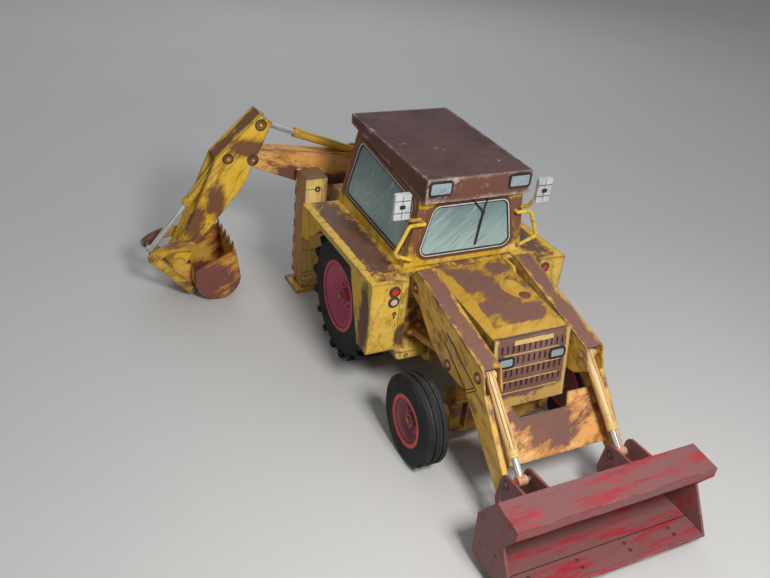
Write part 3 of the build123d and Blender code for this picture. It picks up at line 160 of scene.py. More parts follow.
# Paints
class Paint:
    """One procedural material, built up from masks and colours in the part's own frame."""

    def __init__(self, name):
        self.material = bpy.data.materials.new(name)
        self.material.use_nodes = True
        self.tree = self.material.node_tree
        self.shader = self.tree.nodes["Principled BSDF"]
        self.place = self.add("ShaderNodeTexCoord").outputs["Object"]

    def add(self, kind, **settings):
        """A new node with its settings."""
        node = self.tree.nodes.new(kind)
        for key, value in settings.items():
            setattr(node, key, value)
        return node

    def put(self, socket, value):
        """Links a socket to another one, or sets its value."""
        if hasattr(value, "is_output"):
            self.tree.links.new(value, socket)
        else:
            socket.default_value = value

    def math(self, operation, first, second=0.0, clamp=False):
        """A number worked out from two numbers."""
        node = self.add("ShaderNodeMath", operation=operation, use_clamp=clamp)
        self.put(node.inputs[0], first)
        self.put(node.inputs[1], second)
        return node.outputs[0]

    def vector(self, operation, first, second=(0, 0, 0)):
        """A vector, or a number, worked out from two vectors."""
        node = self.add("ShaderNodeVectorMath", operation=operation)
        self.put(node.inputs[0], first)
        self.put(node.inputs[1], second)
        return node.outputs["Value" if operation in ("LENGTH", "DOT_PRODUCT") else "Vector"]

    def along(self, direction):
        """How far the place lies along a direction, in millimetres."""
        return self.vector("DOT_PRODUCT", self.place, Vector(direction) / MM)

    def noise(self, scale, detail=5.0, rough=0.6, stretch=(1, 1, 1), shift=0.0):
        """Cloudy noise from 0 to 1, with its scale in features for each metre."""
        spread = self.vector("MULTIPLY", self.place, stretch)
        return self.cloud(self.vector("ADD", spread, (shift, shift, shift)), scale, detail, rough)

    def cloud(self, place, scale, detail, rough):
        """Noise read at a place."""
        node = self.add("ShaderNodeTexNoise")
        self.put(node.inputs["Vector"], place)
        node.inputs["Scale"].default_value = scale
        node.inputs["Detail"].default_value = detail
        node.inputs["Roughness"].default_value = rough
        return node.outputs["Fac"]

    def strokes(self, heading, length, width, detail=3.0, rough=0.6, shift=0.0):
        """Noise drawn out into strokes along a heading, with their length and width in millimetres."""
        heading = Vector(heading).normalized()
        gain = self.math("MULTIPLY", self.along(heading), 1 / length - 1 / width)
        drawn = self.add("ShaderNodeVectorMath", operation="SCALE")
        drawn.inputs[0].default_value = heading
        self.put(drawn.inputs["Scale"], gain)
        wide = self.vector("MULTIPLY", self.place, Vector((1, 1, 1)) / (width * MM))
        place = self.vector("ADD", self.vector("ADD", wide, drawn.outputs["Vector"]), (shift, shift, shift))
        return self.cloud(place, 1.0, detail, rough)

    def step(self, value, low, high):
        """0 below low, 1 above high, and smooth between."""
        node = self.add("ShaderNodeMapRange", interpolation_type="SMOOTHSTEP")
        self.put(node.inputs["Value"], value)
        node.inputs["From Min"].default_value = low
        node.inputs["From Max"].default_value = high
        return node.outputs["Result"]

    def line(self, value, centre, width):
        """1 within half a width of a value and 0 away from it."""
        away = self.math("ABSOLUTE", self.math("SUBTRACT", value, centre))
        return self.math("SUBTRACT", 1.0, self.step(away, width * 0.35, width * 0.65))

    def both(self, first, second):
        """Where two masks overlap."""
        return self.math("MULTIPLY", first, second)

    def mix(self, share, first, second):
        """A colour between two colours."""
        node = self.add("ShaderNodeMix", data_type="RGBA")
        self.put(node.inputs["Factor"], share)
        colours = [s for s in node.inputs if s.type == "RGBA"]
        self.put(colours[0], first)
        self.put(colours[1], second)
        return [s for s in node.outputs if s.type == "RGBA"][0]

    def cover(self, base, mask, strength, colour):
        """Lays a colour over a base where a mask is set, at some strength."""
        return self.mix(self.math("MULTIPLY", mask, strength), base, colour)

    def blot(self, centre, radii):
        """An egg-shaped field round a point, in millimetres: 1 in its middle and 0 on its edge."""
        away = self.vector("SUBTRACT", self.place, mm(*centre))
        away = self.vector("DIVIDE", away, mm(*radii))
        return self.math("SUBTRACT", 1.0, self.vector("LENGTH", away))

    def edge(self, radius):
        """How near a folded or cut edge is: 0 on flat card, about 0.3 on the edge."""
        bevel = self.add("ShaderNodeBevel", samples=6)
        bevel.inputs["Radius"].default_value = radius * MM
        true = self.add("ShaderNodeNewGeometry").outputs["Normal"]
        return self.math("SUBTRACT", 1.0, self.vector("DOT_PRODUCT", bevel.outputs["Normal"], true))

    def inked(self, base, ink=0.7, fold=0.6, radius=0.8):
        """Adds the pen lines along the card's edges and the pale paper that shows in its folds."""
        near = self.edge(radius)
        broken = self.noise(170, 4, 0.7, shift=2.3)
        line = self.both(self.step(near, 0.02, 0.08), self.step(broken, 0.3, 0.5))
        base = self.mix(self.math("MULTIPLY", line, ink), base, INK)
        bare = self.both(self.step(near, 0.17, 0.25), self.step(broken, 0.44, 0.6))
        return self.mix(self.math("MULTIPLY", bare, fold), base, PAPER)

    def colour(self, value):
        """Sets the base colour."""
        self.put(self.shader.inputs["Base Color"], value)

    def surface(self, rough, spread, grain=900, depth=0.00004):
        """Roughness that varies a little, and the fine tooth of the card."""
        tooth = self.noise(grain, 3, 0.6)
        low = self.math("MULTIPLY", self.math("SUBTRACT", tooth, 0.5), spread)
        self.put(self.shader.inputs["Roughness"], self.math("ADD", low, rough, True))
        self.shader.inputs["Specular IOR Level"].default_value = 0.3
        bump = self.add("ShaderNodeBump")
        bump.inputs["Strength"].default_value = 0.5
        bump.inputs["Distance"].default_value = depth
        self.put(bump.inputs["Height"], tooth)
        self.put(self.shader.inputs["Normal"], bump.outputs["Normal"])


YELLOW = srgb(222, 180, 52)
CREAM = srgb(228, 196, 104)
OCHRE = srgb(150, 108, 44)
RUST = srgb(116, 82, 76)
INK = srgb(30, 24, 20)
PAPER = srgb(222, 214, 196)


def card(name, fresh=YELLOW, pale=CREAM, worn=OCHRE, rust=RUST, cover=0.42, patches=(), clear=(),
         heading=(0.2, 1, 0.1), ink=0.7, fold=0.5):
    """Coloured card: two tones, crayon strokes, dry-brushed wear, rust blots, specks, dark grime along edges
    that also paints shade into the creases, and pen lines.
    """
    paint = Paint(name)
    tone = paint.noise(38, 5, 0.62)
    crayon = paint.strokes(heading, 5, 0.7, 3, 0.65, 7.7)
    brush = paint.strokes(heading, 16, 4, 5, 0.72, 1.7)
    base = paint.mix(paint.step(tone, 0.42, 0.62), fresh, pale)
    dry = paint.math("ADD", brush, paint.math("MULTIPLY", crayon, 0.35))
    base = paint.cover(base, paint.step(dry, 0.64, 0.86), 0.7, worn)
    field = paint.math("SUBTRACT", paint.noise(44, 6, 0.66, shift=5.3), 1.0 - cover)
    field = paint.math("MULTIPLY", field, 3.0)
    for centre, radii in patches:
        field = paint.math("MAXIMUM", field, paint.blot(centre, radii))
    for centre, radii in clear:
        hole = paint.math("MULTIPLY", paint.step(paint.blot(centre, radii), -0.2, 0.4), 1.2)
        field = paint.math("SUBTRACT", field, hole)
    tear = paint.math("ADD", paint.math("MULTIPLY", brush, 2.0), paint.math("MULTIPLY", crayon, 0.7))
    tear = paint.math("ADD", tear, paint.noise(130, 5, 0.7, shift=6.4))
    field = paint.math("ADD", field, paint.math("SUBTRACT", tear, 1.85))
    base = paint.cover(base, paint.step(field, -0.45, 0.1), 0.8, worn)
    ember = paint.math("MULTIPLY", paint.step(paint.noise(70, 5, 0.7, shift=8.1), 0.5, 0.68), 0.45)
    deep = paint.mix(ember, rust, srgb(140, 88, 52))
    deep = paint.cover(deep, paint.step(crayon, 0.5, 0.72), 0.35, srgb(84, 60, 58))
    base = paint.cover(base, paint.step(field, -0.04, 0.2), 0.95, deep)
    specks = paint.step(paint.noise(420, 3, 0.5, shift=9.2), 0.68, 0.75)
    base = paint.cover(base, specks, 0.5, INK)
    # Dark brown along every edge and inner corner: partly grime, partly painted shade in the creases.
    crease_shade_and_grime = paint.both(paint.step(paint.edge(2.4), 0.01, 0.16), paint.step(tone, 0.44, 0.62))
    base = paint.cover(base, crease_shade_and_grime, 0.45, srgb(62, 46, 26))
    paint.colour(paint.inked(base, ink, fold))
    paint.surface(0.6, 0.3)
    return paint


def roof_card():
    """Dark purple-brown card with white scuffs along its edges and on the front face, and painted light: the
    front and right-hand faces tinted lighter and warmer.
    """
    paint = Paint("roof_card")
    tone = paint.noise(34, 5, 0.65)
    fine = paint.strokes((0.3, 1, 0), 4, 0.9, 4, 0.7, 4.1)
    base = paint.mix(paint.step(tone, 0.35, 0.65), srgb(70, 50, 49), srgb(88, 65, 63))
    base = paint.cover(base, paint.step(fine, 0.5, 0.75), 0.35, srgb(54, 39, 37))
    front = paint.step(paint.along((0, -1, 0)), 38.7, 39.2)
    right_side = paint.step(paint.along((-1, 0, 0)), 23.6, 24.0)
    # Painted light: the front and right-hand faces, turned to the key light, tinted lighter and warmer.
    painted_light_faces = paint.math("MULTIPLY", paint.math("MAXIMUM", front, right_side), 0.5)
    base = paint.mix(painted_light_faces, base, srgb(120, 74, 58))
    broken = paint.math("MULTIPLY", paint.math("SUBTRACT", paint.noise(90, 7, 0.8, shift=3.3), 0.2), 1.6)
    worn = paint.math("ADD", paint.math("MULTIPLY", paint.edge(5), 0.6), broken)
    worn = paint.math("ADD", worn, paint.math("MULTIPLY", front, 0.12))
    worn = paint.math("ADD", worn, paint.math("MULTIPLY", fine, 0.3))
    base = paint.cover(base, paint.step(worn, 0.82, 0.98), 0.75, srgb(204, 192, 186))
    paint.colour(paint.inked(base, 0.45, 0.8, 0.5))
    paint.surface(0.8, 0.2)
    return paint


def glass_print(name, heading):
    """Window panes drawn in grey-green crayon: light below, dark above, hatched on the slant."""
    paint = Paint(name)
    rise = paint.math("ADD", paint.along((0, 0, 1)), paint.math("MULTIPLY", paint.noise(40, 3, 0.5), 14))
    base = paint.mix(paint.step(rise, 70, 102), srgb(160, 184, 182), srgb(96, 122, 126))
    dark = paint.step(paint.strokes(heading, 12, 0.7, 3, 0.6), 0.46, 0.68)
    base = paint.cover(base, dark, 0.4, srgb(76, 98, 102))
    light = paint.step(paint.strokes(heading, 16, 1.1, 3, 0.6, 6.6), 0.52, 0.72)
    base = paint.cover(base, light, 0.35, srgb(198, 216, 214))
    paint.colour(base)
    paint.surface(0.42, 0.2)
    return paint


def grille_card():
    """Purple-brown panel with inked louvres, pale sides and a scuffed yellow foot; the louvre slots are
    darkened below the face, partly as their ink and partly as painted shade in the recesses.
    """
    paint = Paint("grille_card")
    tone = paint.noise(60, 5, 0.65)
    crayon = paint.strokes((1, 0, 0.3), 5, 0.8, 4, 0.7)
    base = paint.mix(paint.step(tone, 0.4, 0.62), srgb(112, 80, 74), srgb(130, 96, 88))
    base = paint.cover(base, paint.step(crayon, 0.48, 0.7), 0.3, srgb(88, 60, 54))
    low = paint.math("ADD", paint.along((0, 0, -1)), paint.math("MULTIPLY", tone, 10))
    spots = paint.step(paint.noise(110, 6, 0.72, shift=1.1), 0.5, 0.6)
    foot = paint.mix(spots, srgb(196, 160, 84), srgb(122, 88, 76))
    base = paint.cover(base, paint.step(low, -31.5, -29.5), 0.9, foot)
    rag = paint.math("MULTIPLY", paint.noise(220, 4, 0.7), 2.6)
    rim = paint.math("ADD", paint.math("ABSOLUTE", paint.along((1, 0, 0))), rag)
    base = paint.cover(base, paint.step(rim, 16.4, 17.2), 0.8, srgb(204, 176, 100))
    # Darkens the floors of the louvre slots behind the front face: partly their inked print, partly painted
    # shade in the recesses.
    lean = (GRILLE_TOP[0] - GRILLE_LOW[0]) / (GRILLE_TOP[1] - GRILLE_LOW[1])
    deep = paint.along((0, 1, -lean))
    face = GRILLE_TOP[0] - lean * GRILLE_TOP[1]
    base = paint.cover(base, paint.step(deep, face + 0.15, face + 0.5), 0.6, srgb(74, 50, 46))
    paint.colour(paint.inked(base, 0.35, 0.3, 0.4))
    paint.surface(0.6, 0.3)
    return paint


def bucket_card(name, side_wear):
    """Crimson card with grey-brown crayon strokes across it, pen lines and pink folds."""
    paint = Paint(name)
    crayon = paint.strokes((1, 0, 0), 12, 0.9, 4, 0.7, 3.3)
    broad = paint.strokes((1, 0.05, 0.05), 34, 5.5, 5, 0.68)
    base = paint.mix(paint.step(crayon, 0.4, 0.7), srgb(162, 50, 60), srgb(128, 36, 48))
    worn = paint.math("ADD", broad, paint.math("MULTIPLY", paint.math("SUBTRACT", crayon, 0.5), 0.35))
    for centre, radii in side_wear:
        rubbed = paint.step(paint.blot(centre, radii), -0.1, 0.5)
        worn = paint.math("ADD", worn, paint.math("MULTIPLY", rubbed, 0.12))
    base = paint.cover(base, paint.step(worn, 0.37, 0.53), 0.85, srgb(120, 88, 86))
    base = paint.cover(base, paint.step(worn, 0.66, 0.78), 0.5, srgb(88, 66, 66))
    near = paint.edge(0.8)
    base = paint.cover(base, paint.step(near, 0.03, 0.1), 0.5, srgb(58, 20, 26))
    fold = paint.both(paint.step(near, 0.17, 0.25), paint.step(paint.noise(90, 4, 0.7), 0.45, 0.6))
    base = paint.cover(base, fold, 0.7, srgb(214, 160, 160))
    inside = paint.step(paint.along((0, 0, -1)), -6.4, -6.0)
    strip = paint.both(paint.line(paint.along((0, 1, 0)), -146.0, 0.45), inside)
    heel = paint.both(paint.line(paint.along((0, 1, 0)), -133.6, 0.4), inside)
    dash = paint.step(paint.strokes((0, 1, 0), 40, 2.2, 1, 0.5), 0.42, 0.5)
    base = paint.cover(base, strip, 0.8, INK)
    base = paint.cover(base, paint.both(heel, dash), 0.8, INK)
    paint.colour(base)
    paint.surface(0.55, 0.3)
    return paint


def tyre_card(name, hub):
    """Matt charcoal card with faint rings round the wheel and grey scuffs on its edges."""
    paint = Paint(name)
    place = paint.vector("SUBTRACT", paint.place, mm(0, *hub))
    radius = paint.math("DIVIDE", paint.vector("LENGTH", paint.vector("MULTIPLY", place, (0, 1, 1))), MM)
    drawn = paint.vector("ADD", paint.vector("MULTIPLY", place, (900, 60, 60)), (2, 2, 2))
    rings = paint.cloud(drawn, 1.0, 3, 0.6)
    base = paint.mix(paint.step(rings, 0.38, 0.66), srgb(28, 29, 29), srgb(44, 46, 45))
    dust = paint.noise(160, 5, 0.7, shift=4.4)
    base = paint.cover(base, paint.step(dust, 0.56, 0.74), 0.35, srgb(74, 73, 69))
    scuff = paint.both(paint.step(paint.edge(0.7), 0.05, 0.2), paint.step(dust, 0.42, 0.6))
    base = paint.cover(base, scuff, 0.5, srgb(104, 102, 98))
    groove = paint.line(paint.math("PINGPONG", radius, 2.4), 1.2, 0.25)
    base = paint.cover(base, groove, 0.25, srgb(26, 26, 26))
    paint.colour(base)
    paint.surface(0.78, 0.2, 700, 0.00008)
    return paint


def rim_card(name, hub, ring, dish, glow):
    """A red ring round a shaded dish, streaked with crayon."""
    paint = Paint(name)
    place = paint.vector("SUBTRACT", paint.place, mm(0, *hub))
    radius = paint.math("DIVIDE", paint.vector("LENGTH", paint.vector("MULTIPLY", place, (0, 1, 1))), MM)
    streak = paint.strokes((0, 0.3, 1), 9, 0.9, 4, 0.7)
    base = paint.mix(paint.step(streak, 0.42, 0.6), dish, glow)
    base = paint.cover(base, paint.step(streak, 0.6, 0.75), 0.6, srgb(70, 40, 46))
    base = paint.mix(paint.step(radius, ring - 0.4, ring + 0.1), base, srgb(200, 66, 70))
    on_ring = paint.step(radius, ring, ring + 0.3)
    chalk = paint.both(on_ring, paint.step(paint.noise(240, 4, 0.7), 0.5, 0.68))
    base = paint.cover(base, chalk, 0.4, srgb(206, 110, 108))
    seam = paint.line(radius, ring - 0.1, 0.5)
    base = paint.cover(base, seam, 0.7, srgb(60, 22, 26))
    paint.colour(base)
    paint.surface(0.5, 0.25)
    return paint


def barrel_card(name, axis, seam, middle, fresh, pale, worn):
    """A rolled card tube: strokes along it, and the dark seam where its edges meet."""
    paint = Paint(name)
    crayon = paint.strokes(axis, 14, 0.7, 4, 0.7)
    broad = paint.strokes(axis, 22, 1.8, 4, 0.7, 5.1)
    base = paint.mix(paint.step(crayon, 0.4, 0.62), fresh, pale)
    base = paint.cover(base, paint.step(broad, 0.5, 0.68), 0.65, worn)
    across = paint.math("ABSOLUTE", paint.along(seam))
    for offset in middle:
        line = paint.line(across, offset, 0.3)
        base = paint.cover(base, line, 0.75, INK)
    paint.colour(paint.inked(base, 0.6, 0.3, 0.5))
    paint.surface(0.5, 0.3)
    return paint


def rod_paper(name, axis, eye=None):
    """Silvered paper streaked along a rod, and wood round its eye where one is given."""
    paint = Paint(name)
    streak = paint.strokes(axis, 20, 0.7, 3, 0.6)
    base = paint.mix(paint.step(streak, 0.36, 0.62), srgb(118, 122, 124), srgb(206, 208, 208))
    base = paint.cover(base, paint.step(paint.noise(240, 4, 0.7), 0.62, 0.76), 0.5, srgb(96, 94, 92))
    if eye:
        away = paint.vector("MULTIPLY", paint.vector("SUBTRACT", paint.place, mm(0, *eye)), (0, 1, 1))
        away = paint.math("DIVIDE", paint.vector("LENGTH", away), MM)
        fibre = paint.mix(paint.step(streak, 0.4, 0.6), srgb(214, 168, 140), srgb(186, 134, 104))
        base = paint.mix(paint.step(away, 2.1, 2.5), fibre, base)
    paint.colour(base)
    paint.surface(0.3, 0.2)
    paint.shader.inputs["Metallic"].default_value = 0.2
    return paint


def wood_pin():
    """Pale pinkish wood with long fibres and a little grime."""
    paint = Paint("wood_pin")
    fibre = paint.strokes((1, 0, 0), 8, 0.25, 4, 0.65)
    base = paint.mix(paint.step(fibre, 0.36, 0.66), srgb(206, 158, 132), srgb(172, 116, 92))
    base = paint.cover(base, paint.step(paint.noise(380, 4, 0.6), 0.56, 0.74), 0.5, srgb(104, 66, 54))
    paint.colour(paint.inked(base, 0.5, 0.4, 0.4))
    paint.surface(0.6, 0.3)
    return paint


def print_paper(name, first, second, ink=0.6, rough=0.4):
    """A small printed face in two close tones with a pen line round its edge."""
    paint = Paint(name)
    crayon = paint.strokes((1, 0.2, 0.6), 3, 0.6, 4, 0.7)
    base = paint.mix(paint.step(crayon, 0.38, 0.66), first, second)
    base = paint.cover(base, paint.step(paint.noise(500, 3, 0.6), 0.62, 0.74), 0.35, INK)
    paint.colour(paint.inked(base, ink, 0.2, 0.45))
    paint.surface(rough, 0.2)
    return paint


def mirror_card():
    """White card heads crossed by pen lines, on yellow arms."""
    paint = Paint("mirror_card")
    tone = paint.noise(200, 4, 0.6)
    arm = paint.mix(paint.step(tone, 0.4, 0.65), srgb(200, 158, 60), srgb(150, 104, 40))
    head = paint.mix(paint.step(tone, 0.42, 0.7), srgb(192, 195, 194), srgb(168, 172, 173))
    reach = paint.math("ABSOLUTE", paint.along((1, 0, 0)))
    base = paint.mix(paint.step(reach, 29.5, 29.6), arm, head)
    paint.colour(paint.inked(base, 0.6, 0.2, 0.4))
    paint.surface(0.5, 0.2)
    return paint


def column_card():
    """Cream front faces, brown sides, and a red and white striped band down the rear edges."""
    paint = card("column_card", srgb(224, 188, 106), srgb(232, 202, 130), srgb(176, 128, 66),
                 srgb(132, 90, 54), 0.22, heading=(0, 0.1, 1))
    base = paint.shader.inputs["Base Color"].links[0].from_socket
    crayon = paint.strokes((0, 0.1, 1), 14, 1.2, 4, 0.7, 2.2)
    side = paint.math("ABSOLUTE", paint.along((1, 0, 0)))
    brown = paint.mix(paint.step(crayon, 0.4, 0.62), srgb(186, 136, 84), srgb(150, 104, 68))
    base = paint.cover(base, paint.step(side, COLUMN_OUT, COLUMN_OUT + 0.15), 0.9, brown)
    top = paint.step(paint.along((0, 0, 1)), 62.8, 62.95)
    base = paint.cover(base, top, 0.85, srgb(92, 62, 52))
    slope = paint.math("MULTIPLY", paint.along((0.5, 0, 1)), 1 / 9)
    stripe = paint.step(paint.math("FRACT", slope), 0.47, 0.53)
    hazard = paint.mix(stripe, srgb(206, 198, 190), srgb(164, 46, 48))
    hazard = paint.cover(hazard, paint.step(crayon, 0.5, 0.7), 0.4, srgb(112, 78, 66))
    rear = paint.both(paint.step(paint.along((0, 1, 0)), 65.9, 66.0), paint.step(side, 33.6, 33.7))
    base = paint.cover(base, rear, 0.95, hazard)
    paint.colour(paint.inked(base, 0.5, 0.4, 0.7))
    return paint


def dress(paint, *names):
    """Gives a material to CAD nodes."""
    for name in names:
        mesh = nodes[name].data
        mesh.materials.clear()
        mesh.materials.append(paint.material)


def mirrored(blots):
    """The same blots on both sides of the machine."""
    return [((side * x, y, z), radii) for (x, y, z), radii in blots for side in SIDES]


PEACH, PALE_PEACH = srgb(208, 152, 86), srgb(220, 176, 116)
rusty = card("rusty_card", srgb(178, 134, 46), srgb(190, 150, 76), cover=0.56)
plain = card("yellow_card")
dress(rusty, "chassis_frame", "rear_frame", "slew_carriage", "slew_post", "front_axle", "knuckle_right",
      "knuckle_left", "rear_axle")
dress(plain, "loader_towers", "rear_body", "cab_steps", "stabiliser_leg_right", "stabiliser_leg_left")
dress(card("handle_card", srgb(220, 184, 52), srgb(228, 196, 84), cover=0.2, ink=0.4), "grab_handle")
dress(card("hood_card", srgb(186, 145, 48), srgb(196, 160, 74), rust=srgb(116, 82, 74), cover=0.44,
           heading=(1, 0.8, 0),
           patches=[((-3, -51, 62), (11, 8, 9)), ((3, -62, 61), (9, 9, 9)), ((3, -75, 60), (14, 7, 9)),
                    ((11, -45, 62), (7, 4, 9)), ((-9, -44, 62), (6, 3, 9)), ((-8, -70, 60), (6, 5, 9)),
                    ((0, -88, 45), (40, 2, 20))],
           clear=[((9, -60, 61), (5, 6, 9)), ((0, -85, 59), (17, 4, 6)), ((-15, -62, 61), (4, 22, 9))]),
      "hood")
dress(card("cab_card", srgb(204, 162, 44), rust=srgb(116, 76, 60), cover=0.36, heading=(0.2, 0.3, 1),
           patches=[((0, 0, 84), (70, 70, 20))],
           clear=[((0, 0, 63), (80, 80, 3.4)), ((0, -36, 90), (30, 3, 3))]),
      "cab_shell")
dress(card("guard_card", srgb(206, 166, 44), srgb(216, 180, 82), rust=srgb(90, 65, 57), cover=0.35,
           heading=(0.1, 0.6, 1),
           patches=mirrored([((37, -4, 62.5), (8, 42, 5)), ((46.5, -40, 44), (2, 5, 16)),
                             ((31, -45, 36), (4, 3, 6))]),
           clear=mirrored([((40, -46, 48), (7, 4, 22)), ((45, -4, 62), (2.6, 40, 4))])),
      "mudguards")
arm_card = card("arm_card", srgb(214, 166, 68), srgb(220, 180, 100), srgb(134, 98, 54),
                srgb(120, 84, 78), 0.36, heading=(0, 1, 0.5),
                patches=mirrored([((23, -56, 64), (3.4, 26, 14)), ((23, -82, 58), (3.4, 26, 14))]),
                clear=mirrored([((26, -112, 26), (5, 14, 14))]))
dress(arm_card, "loader_arms")
dress(card("cross_card", PEACH, PALE_PEACH, srgb(156, 100, 60), srgb(110, 78, 72), 0.36,
           heading=(1, 0.1, 0.6),
           patches=[((1, -107, 29), (14, 9, 7.5)), ((-10, -104, 33), (6, 5, 5))]), "cross_plate")
dress(card("boom_card", srgb(218, 156, 80), srgb(226, 180, 110), srgb(160, 102, 50),
           srgb(108, 72, 62), 0.32, heading=(1, 0, -0.35),
           patches=[((-38, 70, 58), (11, 6, 6)), ((-14, 70, 52), (9, 6, 6))]), "boom")
dress(card("dipper_card", srgb(224, 180, 44), srgb(228, 190, 74), srgb(164, 116, 38),
           srgb(116, 76, 54), 0.30, heading=(0.7, 0, 1),
           patches=[((-60, SLEW_Y, 90), (13, 4.6, 10)), ((-72, SLEW_Y, 74), (12, 4.6, 12)),
                    ((-88, 66, 38), (6, 4, 11)), ((-76, 66, 50), (5, 4, 10)), ((-62, 66, 76), (9, 4, 5)),
                    ((-88, 83, 38), (6, 4, 11))]),
      "dipper")
dress(card("lever_card", srgb(204, 162, 40), srgb(212, 176, 76), cover=0.46, heading=(1, 0, 0.2)),
      "tipping_lever", "tipping_link")
dress(card("hoe_bucket_card", srgb(212, 164, 56), srgb(218, 178, 86), srgb(168, 98, 52),
           srgb(116, 72, 66), 0.40, heading=(1, 0, 0.6),
           patches=[((-84, 57, 11), (16, 5, 11)), ((-86, 74, 2), (14, 30, 5)), ((-82, 88.5, 20), (6, 3, 5))],
           clear=[((-96, 74, 10), (6, 30, 10))]), "hoe_bucket")
dress(column_card(), "stabiliser_columns")
dress(roof_card(), "roof")
dress(glass_print("front_glass", (1, 0, 0.9)), "windscreen")
dress(glass_print("side_glass", (0, -0.5, 1)), "side_windows")
dress(glass_print("rear_glass", (-1, 0, 0.9)), "rear_window")
dress(grille_card(), "grille")
dress(bucket_card("bucket_card", [((-43, -138, 18), (3, 22, 16)), ((0, -124, 20), (60, 5, 16)),
                                  ((0, -132, 23), (60, 16, 4))]), "loader_bucket")
dress(mirror_card(), "mirrors")
for side_name in ("right", "left"):
    for axle, hub in (("rear", (0, REAR_HUB)), ("front", (-WHEELBASE, FRONT_HUB))):
        dress(tyre_card(f"{axle}_tyre_card_{side_name}", hub), f"{axle}_tyre_{side_name}")
    dress(rim_card(f"rear_rim_card_{side_name}", (0, REAR_HUB), 14.7, srgb(150, 82, 96),
                   srgb(206, 78, 120)), f"rear_rim_{side_name}")
    dress(rim_card(f"front_rim_card_{side_name}", (-WHEELBASE, FRONT_HUB), 9.0, srgb(150, 84, 92),
                   srgb(126, 92, 92)), f"front_rim_{side_name}")
tilt_axis = (0, TILT_EYE[0] - TILT_BASE[0], TILT_EYE[1] - TILT_BASE[1])
lift_axis = (0, LIFT_EYE[0] - LIFT_BASE[0], LIFT_EYE[1] - LIFT_BASE[1])
dress(barrel_card("tilt_barrel_card", tilt_axis, (1, 0, 0), (TILT_X, TILT_X + 1.3), srgb(212, 170, 112),
                  srgb(222, 190, 138), srgb(150, 100, 62)), "tilt_barrels")
dress(barrel_card("lift_barrel_card", lift_axis, (1, 0, 0), (LIFT_X,), srgb(176, 130, 70),
                  srgb(196, 154, 92), srgb(116, 78, 52)), "lift_barrels")
HOE_RAMS = {
    "boom": ((11, 24), (37, 47.5), 23), "dipper": ((14, 67.1), (66.7, 86.9), 36),
    "bucket": ((82.6, 71.2), (119.7, 24), 31),
}
for ram, (base, eye, length) in HOE_RAMS.items():
    axis = hoe(*eye) - hoe(*base)
    dress(barrel_card(f"{ram}_barrel_card", axis, (0, 1, 0), (SLEW_Y, SLEW_Y - 1.5), srgb(196, 152, 44),
                      srgb(206, 168, 70), srgb(120, 86, 34)), f"{ram}_barrel")
    dress(rod_paper(f"{ram}_rod_paper", axis), f"{ram}_rod")
dress(rod_paper("tilt_rod_paper", tilt_axis, TILT_EYE), "tilt_rods")
dress(rod_paper("lift_rod_paper", lift_axis, LIFT_EYE), "lift_rods")
pin_wood = wood_pin()
dress(pin_wood, "loader_arm_pins")
lamp = print_paper("lamp_print", srgb(150, 164, 172), srgb(124, 140, 150), 0.3)
dress(lamp, "roof_lamps", "headlamps")
dress(print_paper("red_print", srgb(190, 62, 58), srgb(160, 44, 46)), "red_lamps")
dress(print_paper("white_print", srgb(198, 192, 172), srgb(170, 164, 150)), "white_lamps")


# Small pieces
def turned(form, centre, axis, profile, count=20):
    """A ring or cap turned from (radius, height) points, which closes on itself or on its axis."""
    axis = Vector(axis).normalized()
    side = axis.orthogonal().normalized()
    other = axis.cross(side)
    rings = []
    for radius, height in profile:
        spokes = count if radius else 1
        turns = [2 * pi * i / count for i in range(spokes)]
        rings.append([form.verts.new((Vector(centre) + axis * height
                                      + radius * (cos(t) * side + sin(t) * other)) * MM) for t in turns])
    open_ends = len(rings[0]) == 1
    pairs = list(zip(rings, rings[1:])) if open_ends else list(zip(rings, rings[1:] + rings[:1]))
    for first, second in pairs:
        for i in range(count):
            j = (i + 1) % count
            corners = [first[i % len(first)], first[j % len(first)],
                       second[j % len(second)], second[i % len(second)]]
            unique = list(dict.fromkeys(corners))
            if len(unique) > 2:
                form.faces.new(unique)


def washer(form, centre, axis, inner, outer, height):
    """A flat ring with a rounded outer edge, sunk a little into what carries it."""
    soft = min(height, outer - inner) * 0.4
    profile = [(inner, SINK), (inner, height), (outer - soft, height), (outer, height - soft), (outer, SINK)]
    turned(form, centre, axis, profile)


def bolt(form, centre, axis, radius, height, count=6):
    """A bolt head with a chamfered top."""
    profile = [(0, height), (radius * 0.75, height), (radius, height * 0.6), (radius, SINK), (0, SINK)]
    turned(form, centre, axis, profile, count)


def tube(form, points, radius, flat, count=8):
    """A round bar along points that lie in one plane, closed at both ends."""
    points = [Vector(p) for p in points]
    flat = Vector(flat).normalized()
    rings = []
    for i, point in enumerate(points):
        heading = (points[min(i + 1, len(points) - 1)] - points[max(i - 1, 0)]).normalized()
        side = heading.cross(flat).normalized()
        turns = [2 * pi * k / count for k in range(count)]
        spots = [point + radius * (cos(t) * side + sin(t) * flat) for t in turns]
        rings.append([form.verts.new(spot * MM) for spot in spots])
    for first, second in zip(rings, rings[1:]):
        for k in range(count):
            form.faces.new([first[k], first[(k + 1) % count], second[(k + 1) % count], second[k]])
    form.faces.new(rings[0])
    form.faces.new(rings[-1])


def strip(form, start, end, normal, width, height):
    """A narrow raised strip of card between two points on a face."""
    start, end, normal = Vector(start), Vector(end), Vector(normal).normalized()
    heading = (end - start).normalized()
    side = normal.cross(heading).normalized()
    rows = []
    for place, inset in ((start, 1), (end, -1)):
        row = []
        for across, rise, pull in ((-0.5, SINK, 0), (-0.4, height, 0.1), (0.4, height, 0.1), (0.5, SINK, 0)):
            spot = place + heading * inset * pull * width + side * across * width + normal * rise
            row.append(form.verts.new(spot * MM))
        rows.append(row)
    for k in range(4):
        form.faces.new([rows[0][k], rows[0][(k + 1) % 4], rows[1][(k + 1) % 4], rows[1][k]])
    form.faces.new(rows[0])
    form.faces.new(rows[1])


